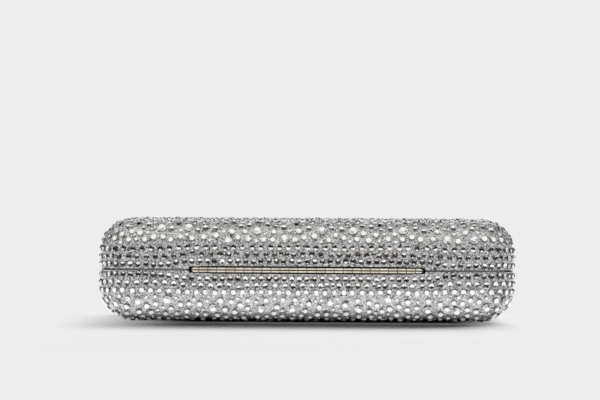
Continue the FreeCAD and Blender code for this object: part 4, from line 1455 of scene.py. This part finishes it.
    def scatter(self, pick: Callable[[], Place | None], radii: Span, gap: float) -> Iterator[Spot]:
        """Scatters stones wherever there is room.

        Args:
            pick: Gives a random place, or None.
            radii: The smallest and largest radius.
            gap: The least gap between stones.

        Yields:
            One spot for each stone.
        """
        for _ in range(self.tries):
            place = pick()
            if place:
                spot = self.settle(*place, self.draw.uniform(*radii), gap)
                if spot:
                    yield spot

    def cut_small(self, mesh: StoneMesh, spots: Iterable[Spot]) -> None:
        """Cuts small and medium stones into a mesh, one by one as their spots come."""
        for spot in spots:
            self.small_cut.add(Setting(mesh, spot, self.lift(spot), self.draw))

    def large(self, node_name: str, nodes: Nodes, material: bpy.types.Material) -> bpy.types.Object:
        """Cuts the large stones afresh where their CAD node has them.

        Args:
            node_name: The CAD node's name.
            nodes: The CAD nodes.
            material: The stones' material.

        Returns:
            The new piece.
        """
        mesh = StoneMesh(node_name.replace("stones", "large_crystals"))
        for spot in self.read_spots(nodes[node_name]):
            self.grid.add(spot)
            self.large_cut.add(Setting(mesh, spot, self.lift(spot), self.draw))
        piece = mesh.build(material, self.half)
        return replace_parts(piece, node_name)

    def build(self, nodes: Nodes, material: bpy.types.Material) -> list[bpy.types.Object]:
        """Makes all the stones of this half.

        Args:
            nodes: The CAD nodes.
            material: The stones' material.

        Returns:
            The new pieces.
        """
        half = self.half.value
        rows = f"{half}_row_stones"
        large_nodes = (f"{half}_side_stones", self.half.broad_stones)
        pieces = [self.large(node_name, nodes, material) for node_name in large_nodes]
        side = StoneMesh(f"{half}_side_crystals")
        broad = StoneMesh(self.half.broad_stones.replace("stones", "crystals"))
        self.cut_small(side, self.seam_rows(nodes[rows]))
        self.cut_small(side, self.scatter(self.row_place, self.filler_radii, self.filler_gap))
        for radii, gap in ((self.medium_radii, self.medium_gap), (self.small_radii, self.small_gap)):
            for mesh, pick in ((side, self.wall_place), (broad, self.face_place)):
                self.cut_small(mesh, self.scatter(pick, radii, gap))
        pieces.append(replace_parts(side.build(material, self.half), rows))
        return pieces + [broad.build(material, self.half)]


@dataclass(frozen=True)
class Metalwork:
    """The metal and moulded pieces and the ground, which keep their CAD shapes."""

    gold: MetalFinish = MetalFinish(
        "pale_gold",
        dark=(0.66, 0.57, 0.44, 1),
        light=(0.88, 0.80, 0.67, 1),
        roughness=(0.05, 0.12),
        # Painted shade: faces in the hinge slot and a band at the seam are painted dark.
        recess=(-45.4 * MM, -43.3 * MM),
        seam_line=0.6 * MM,
    )
    # The knuckles' copy of the pale gold is painted a little darker, as shade on the barrel in its slot,
    # and gets painted shade at its edges and ends.
    knuckles: MetalFinish = MetalFinish(
        "knuckle_gold",
        dark=(0.60, 0.53, 0.43, 1),
        light=(0.87, 0.81, 0.71, 1),
        roughness=(0.03, 0.06),
        recess=(-45.6 * MM, -43.3 * MM),
        joint_count=26,
    )
    steel: MetalFinish = MetalFinish(
        "spring_steel", dark=(0.40, 0.41, 0.43, 1), light=(0.56, 0.57, 0.58, 1), roughness=(0.2, 0.4)
    )
    shell: MouldedFinish = MouldedFinish("moulded_shell")
    ground: GroundFinish = GroundFinish("glitter_ground")
    gold_nodes: tuple[str, ...] = (
        "base_rim",
        "lid_rim",
        "base_hinge_rivets",
        "lid_hinge_rivets",
        "hinge_pin",
        "clasp_button",
        "clasp_bezel",
        "clasp_housing",
        "clasp_housing_rivets",
        "strike_hook",
        "strike_rivets",
    )
    knuckle_nodes: tuple[str, ...] = ("base_hinge_leaf", "lid_hinge_leaf")
    steel_nodes: tuple[str, ...] = ("clasp_leaf_spring", "clasp_slide")
    shell_nodes: tuple[str, ...] = ("base_shell", "lid_shell")
    ground_nodes: tuple[str, ...] = ("base_cover", "lid_cover")

    def dress(self, nodes: Nodes) -> None:
        """Gives each of these CAD nodes its finish.

        Args:
            nodes: The CAD nodes.
        """
        for finish, names in (
            (self.gold, self.gold_nodes),
            (self.knuckles, self.knuckle_nodes),
            (self.steel, self.steel_nodes),
            (self.shell, self.shell_nodes),
            (self.ground, self.ground_nodes),
        ):
            material = finish.material()
            for name in names:
                nodes[name].data.materials.clear()
                nodes[name].data.materials.append(material)
                LOG.info("%s is dressed as %s", name, finish.name)


@dataclass(frozen=True)
class Lining:
    """The napped lining of one half: a soft tray with a rolled edge and a slightly padded floor."""

    half: Half
    plan_radius: float = 12.3 * MM
    edge_radius: float = 10.8 * MM
    thickness: float = 0.95 * MM
    crown: float = 0.9 * MM
    least_radius: float = 0.2 * MM
    floor_gap: float = 0.5 * MM
    corner_steps: int = 7
    run_steps: int = 14
    edge_steps: int = 9
    bead_steps: int = 4
    floor_steps: int = 9
    finish: NapFinish = NapFinish("lining_nap", dark=(0.20, 0.195, 0.19, 1), light=(0.37, 0.36, 0.35, 1))

    def ring(self, reach: Vector, inset: float) -> list[Vector]:
        """Gives the points of the plan outline at an inset.

        Args:
            reach: Half the length and half the depth of the lining.
            inset: How far the ring lies inside it.

        Returns:
            The points in order.
        """
        radius = max(self.plan_radius - inset, self.least_radius)
        far_x = reach.x - inset - radius
        far_y = max(reach.y - inset - radius, 0)
        shares = [i / (self.corner_steps - 1) for i in range(self.corner_steps)]
        arcs = []
        for side, (x, y) in enumerate(((1, -1), (1, 1), (-1, 1), (-1, -1))):
            centre = Vector((x * far_x, y * far_y, 0))
            turns = [math.pi / 2 * (side - 1 + share) for share in shares]
            arcs.append([centre + heading(turn) * radius for turn in turns])
        points = []
        for arc, after in zip(arcs, arcs[1:] + arcs[:1]):
            run = [arc[-1].lerp(after[0], i / self.run_steps) for i in range(1, self.run_steps)]
            points += arc + run
        return points

    def stations(self, depth: float, reach: Vector) -> list[tuple[float, float, float]]:
        """Gives the lining's section from the middle of its floor, over its edge, to its underside.

        Args:
            depth: The lining's height.
            reach: Half its length and half its depth.

        Returns:
            For each station its inset, its way down from the mouth and its share of the floor's crown.
        """
        outer = self.edge_radius
        inner = outer - self.thickness
        bead = self.thickness / 2
        middle = reach.y - self.floor_gap
        quarter = [math.pi / 2 * i / self.edge_steps for i in range(self.edge_steps + 1)]
        section = []
        for i in range(self.floor_steps):
            share = i / self.floor_steps
            section.append((middle + (outer - middle) * share, depth - self.thickness, 1 - share * share))
        for turn in reversed(quarter):
            inset = self.thickness + inner * (1 - math.cos(turn))
            section.append((inset, depth - outer + inner * math.sin(turn), 0))
        for i in range(self.bead_steps + 1):
            turn = math.pi * i / self.bead_steps
            section.append((bead + bead * math.cos(turn), bead - bead * math.sin(turn), 0))
        for turn in quarter:
            section.append((outer * (1 - math.cos(turn)), depth - outer + outer * math.sin(turn), 0))
        section.append((middle, depth, 0))
        return section

    def build(self) -> bpy.types.Object:
        """Makes the lining in place of its CAD node.

        Returns:
            The new piece.
        """
        name = f"{self.half.value}_lining"
        low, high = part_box(name)
        up = self.half.up
        mouth = low.z if up > 0 else high.z
        cloth = bmesh.new()
        rings = []
        for inset, drop, crown in self.stations(high.z - low.z, high):
            level = mouth + up * (drop - crown * self.crown)
            rings.append([cloth.verts.new((spot.x, spot.y, level)) for spot in self.ring(high, inset)])
        count = len(rings[0])
        for near, far in zip(rings, rings[1:]):
            for i in range(count):
                after = (i + 1) % count
                cloth.faces.new((near[i], near[after], far[after], far[i]))
        cloth.faces.new(rings[0])
        cloth.faces.new(rings[-1])
        bmesh.ops.recalc_face_normals(cloth, faces=cloth.faces)
        for face in cloth.faces:
            face.smooth = True
        mesh = bpy.data.meshes.new(f"{name}_cloth")
        cloth.to_mesh(mesh)
        cloth.free()
        mesh.materials.append(self.finish.material())
        piece = placed(f"{name}_cloth", mesh)
        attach(piece, self.half.value)
        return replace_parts(piece, name)


@dataclass(frozen=True)
class ClaspSpring:
    """The clasp's bowed leaf spring, which in the real clasp flattens as the button is pressed; here it
    keeps its CAD shape.
    """

    name: str = "clasp_bowed_spring"
    node_name: str = "clasp_leaf_spring"
    fixed: str = "base"
    pushed: str = "clasp"

    def build(self, nodes: Nodes) -> bpy.types.Object:
        """Makes a copy of the spring from its CAD node, in the same place.

        Args:
            nodes: The CAD nodes.

        Returns:
            The new piece.
        """
        low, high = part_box(self.node_name)
        piece = placed(self.name, nodes[self.node_name].data.copy())
        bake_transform(piece)
        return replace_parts(piece, self.node_name)


@dataclass(frozen=True)
class SoftBox:
    """One soft studio light."""

    name: str
    place: tuple[float, float, float]
    width: float
    depth: float
    power: float

    def build(self) -> None:
        """Hangs the light and turns it to the case; the crystals mirror the room and not the lamp."""
        lamp = bpy.data.lights.new(self.name, "AREA")
        lamp.shape = "RECTANGLE"
        lamp.size = self.width
        lamp.size_y = self.depth
        lamp.energy = self.power
        stand = placed(self.name, lamp)
        stand.visible_glossy = False
        stand.location = self.place
        stand.rotation_euler = (-Vector(self.place)).to_track_quat("-Z", "Y").to_euler()


@dataclass(frozen=True)
class Studio:
    """Floor, surroundings and lights; the spans are parts of a direction, from -1 to 1."""

    pale: float = 0.847
    fill: Colour = (0.005, 0.005, 0.005, 1)
    room: Colour = (0.06, 0.06, 0.065, 1)
    ceiling: Colour = (0.93, 0.925, 0.9, 1)
    dark_front: Colour = (0.015, 0.014, 0.013, 1)
    brown_front: Colour = (0.13, 0.082, 0.062, 1)
    ceiling_end: Span = (0.32, 0.4)
    backdrop_start: Span = (0.68, 0.76)
    front_start: Span = (0.2, -0.2)
    front_top: Span = (0.5, 0.42)
    brown_top: Span = (0.04, 0.18)
    bounces: float = 0.5
    floor_reach: float = 6.0
    floor_drop: float = 0.05 * MM
    boxes: tuple[SoftBox, ...] = (
        SoftBox("key_box", (1.4, 3.14, 2.41), 3.2, 1.4, 361.0),
        SoftBox("top_box", (0.15, 2.0, 3.0), 5.0, 1.2, 48.0),
    )

    def floor(self) -> None:
        """Lays the pale floor, which turns into the plain background further away."""
        far = self.floor_reach
        low = -self.floor_drop
        mesh = bpy.data.meshes.new("floor")
        corners = [(-far, -far, low), (far, -far, low), (far, far, low), (-far, far, low)]
        mesh.from_pydata(corners, [], [(0, 1, 2, 3)])
        mesh.materials.append(FloorFinish("floor_card", self.pale).material())
        floor = placed("floor", mesh)
        floor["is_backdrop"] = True

    def surroundings(self) -> None:
        """Makes the room: a pale backdrop, a lighter ceiling, and the dark side that the hinge faces."""
        world = bpy.data.worlds.new("studio")
        world.use_nodes = True
        wiring = Wiring(world.node_tree)
        way = wiring.parts(wiring.coordinate("Generated"))
        colour = wiring.mixed(wiring.smooth(way["Y"], *self.ceiling_end), self.ceiling, self.room)
        backdrop = (self.pale, self.pale, self.pale, 1)
        colour = wiring.mixed(wiring.smooth(way["Y"], *self.backdrop_start), colour, backdrop)
        low = wiring.mixed(wiring.smooth(way["Z"], *self.brown_top), self.brown_front, self.dark_front)
        ahead = wiring.smooth(way["Y"], *self.front_start)
        front = wiring.maths("MULTIPLY", ahead, wiring.smooth(way["Z"], *self.front_top))
        colour = wiring.mixed(front, colour, low)
        path = wiring.add("LightPath").outputs
        rays = (path[f"Is {kind} Ray"] for kind in ("Camera", "Glossy", "Transmission"))
        direct = wiring.maths("LESS_THAN", path["Diffuse Depth"], self.bounces)
        shown = wiring.maths("MULTIPLY", wiring.chain("MAXIMUM", *rays), direct)
        colour = wiring.mixed(shown, self.fill, colour)
        wiring.fill(world.node_tree.nodes["Background"], {"Color": colour})
        bpy.context.scene.world = world

    def build(self) -> None:
        """Sets up the whole studio."""
        self.floor()
        self.surroundings()
        for box in self.boxes:
            box.build()


@dataclass(frozen=True)
class PhotoCamera:
    """The camera, where the photograph was taken from, with places in its 600 by 400 pixels."""

    image_width: float = 600
    image_height: float = 400
    hinge_pixel_x: float = 307.5
    hinge_pixel_y: float = 270.3
    pixels_per_mm: float = 2.322
    near_corner: float = 32 * MM
    distance: float = 0.95
    elevation: float = math.radians(1.2)
    roll: float = math.radians(0.33)
    sensor: float = 36.0

    def build(self) -> None:
        """Places the camera so that the hinge's middle falls on its pixel."""
        focal = self.pixels_per_mm / MM * (self.distance - self.near_corner)
        low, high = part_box("hinge_pin")
        aim = (low + high) / 2
        place = Vector((0, -math.cos(self.elevation), math.sin(self.elevation))) * self.distance
        place.z += aim.z
        turn = (aim - place).to_track_quat("-Z", "Y").to_matrix()
        pitch = math.atan((self.hinge_pixel_y - self.image_height / 2) / focal)
        yaw = math.atan((self.hinge_pixel_x - self.image_width / 2) / focal)
        turn = turn @ Matrix.Rotation(pitch, 3, "X") @ Matrix.Rotation(yaw, 3, "Y")
        turn = turn @ Matrix.Rotation(self.roll, 3, "Z")
        data = bpy.data.cameras.new("photo_camera")
        data.sensor_fit = "HORIZONTAL"
        data.sensor_width = self.sensor
        data.lens = self.sensor * focal / self.image_width
        data.clip_start = MM
        camera = placed("photo_camera", data)
        camera.matrix_world = Matrix.Translation(place) @ turn.to_4x4()
        bpy.context.scene.camera = camera


def main() -> None:
    """Builds the looks in order and reports each piece."""
    logging.basicConfig(level=logging.INFO, format="%(name)s: %(message)s")
    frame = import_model()
    cad_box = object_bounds()
    Metalwork().dress(frame["nodes"])
    crystal = CrystalFinish("foiled_crystal").material()
    for seed, half in enumerate(Half, 11):
        for piece in CrystalField(half, seed).build(frame["nodes"], crystal):
            LOG.info("%s has %d facets", piece.name, len(piece.data.polygons))
        lining = Lining(half).build()
        LOG.info("%s has %d faces", lining.name, len(lining.data.polygons))
    spring = ClaspSpring().build(frame["nodes"])
    LOG.info("%s has %d faces", spring.name, len(spring.data.polygons))
    Studio().build()
    PhotoCamera().build()
    bpy.context.scene.view_settings.view_transform = "Standard"
    boxes = {"cad": cad_box, "visual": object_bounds()}
    {name: [list(corner) for corner in box] for name, box in boxes.items()}


if __name__ == "__main__":
    main()
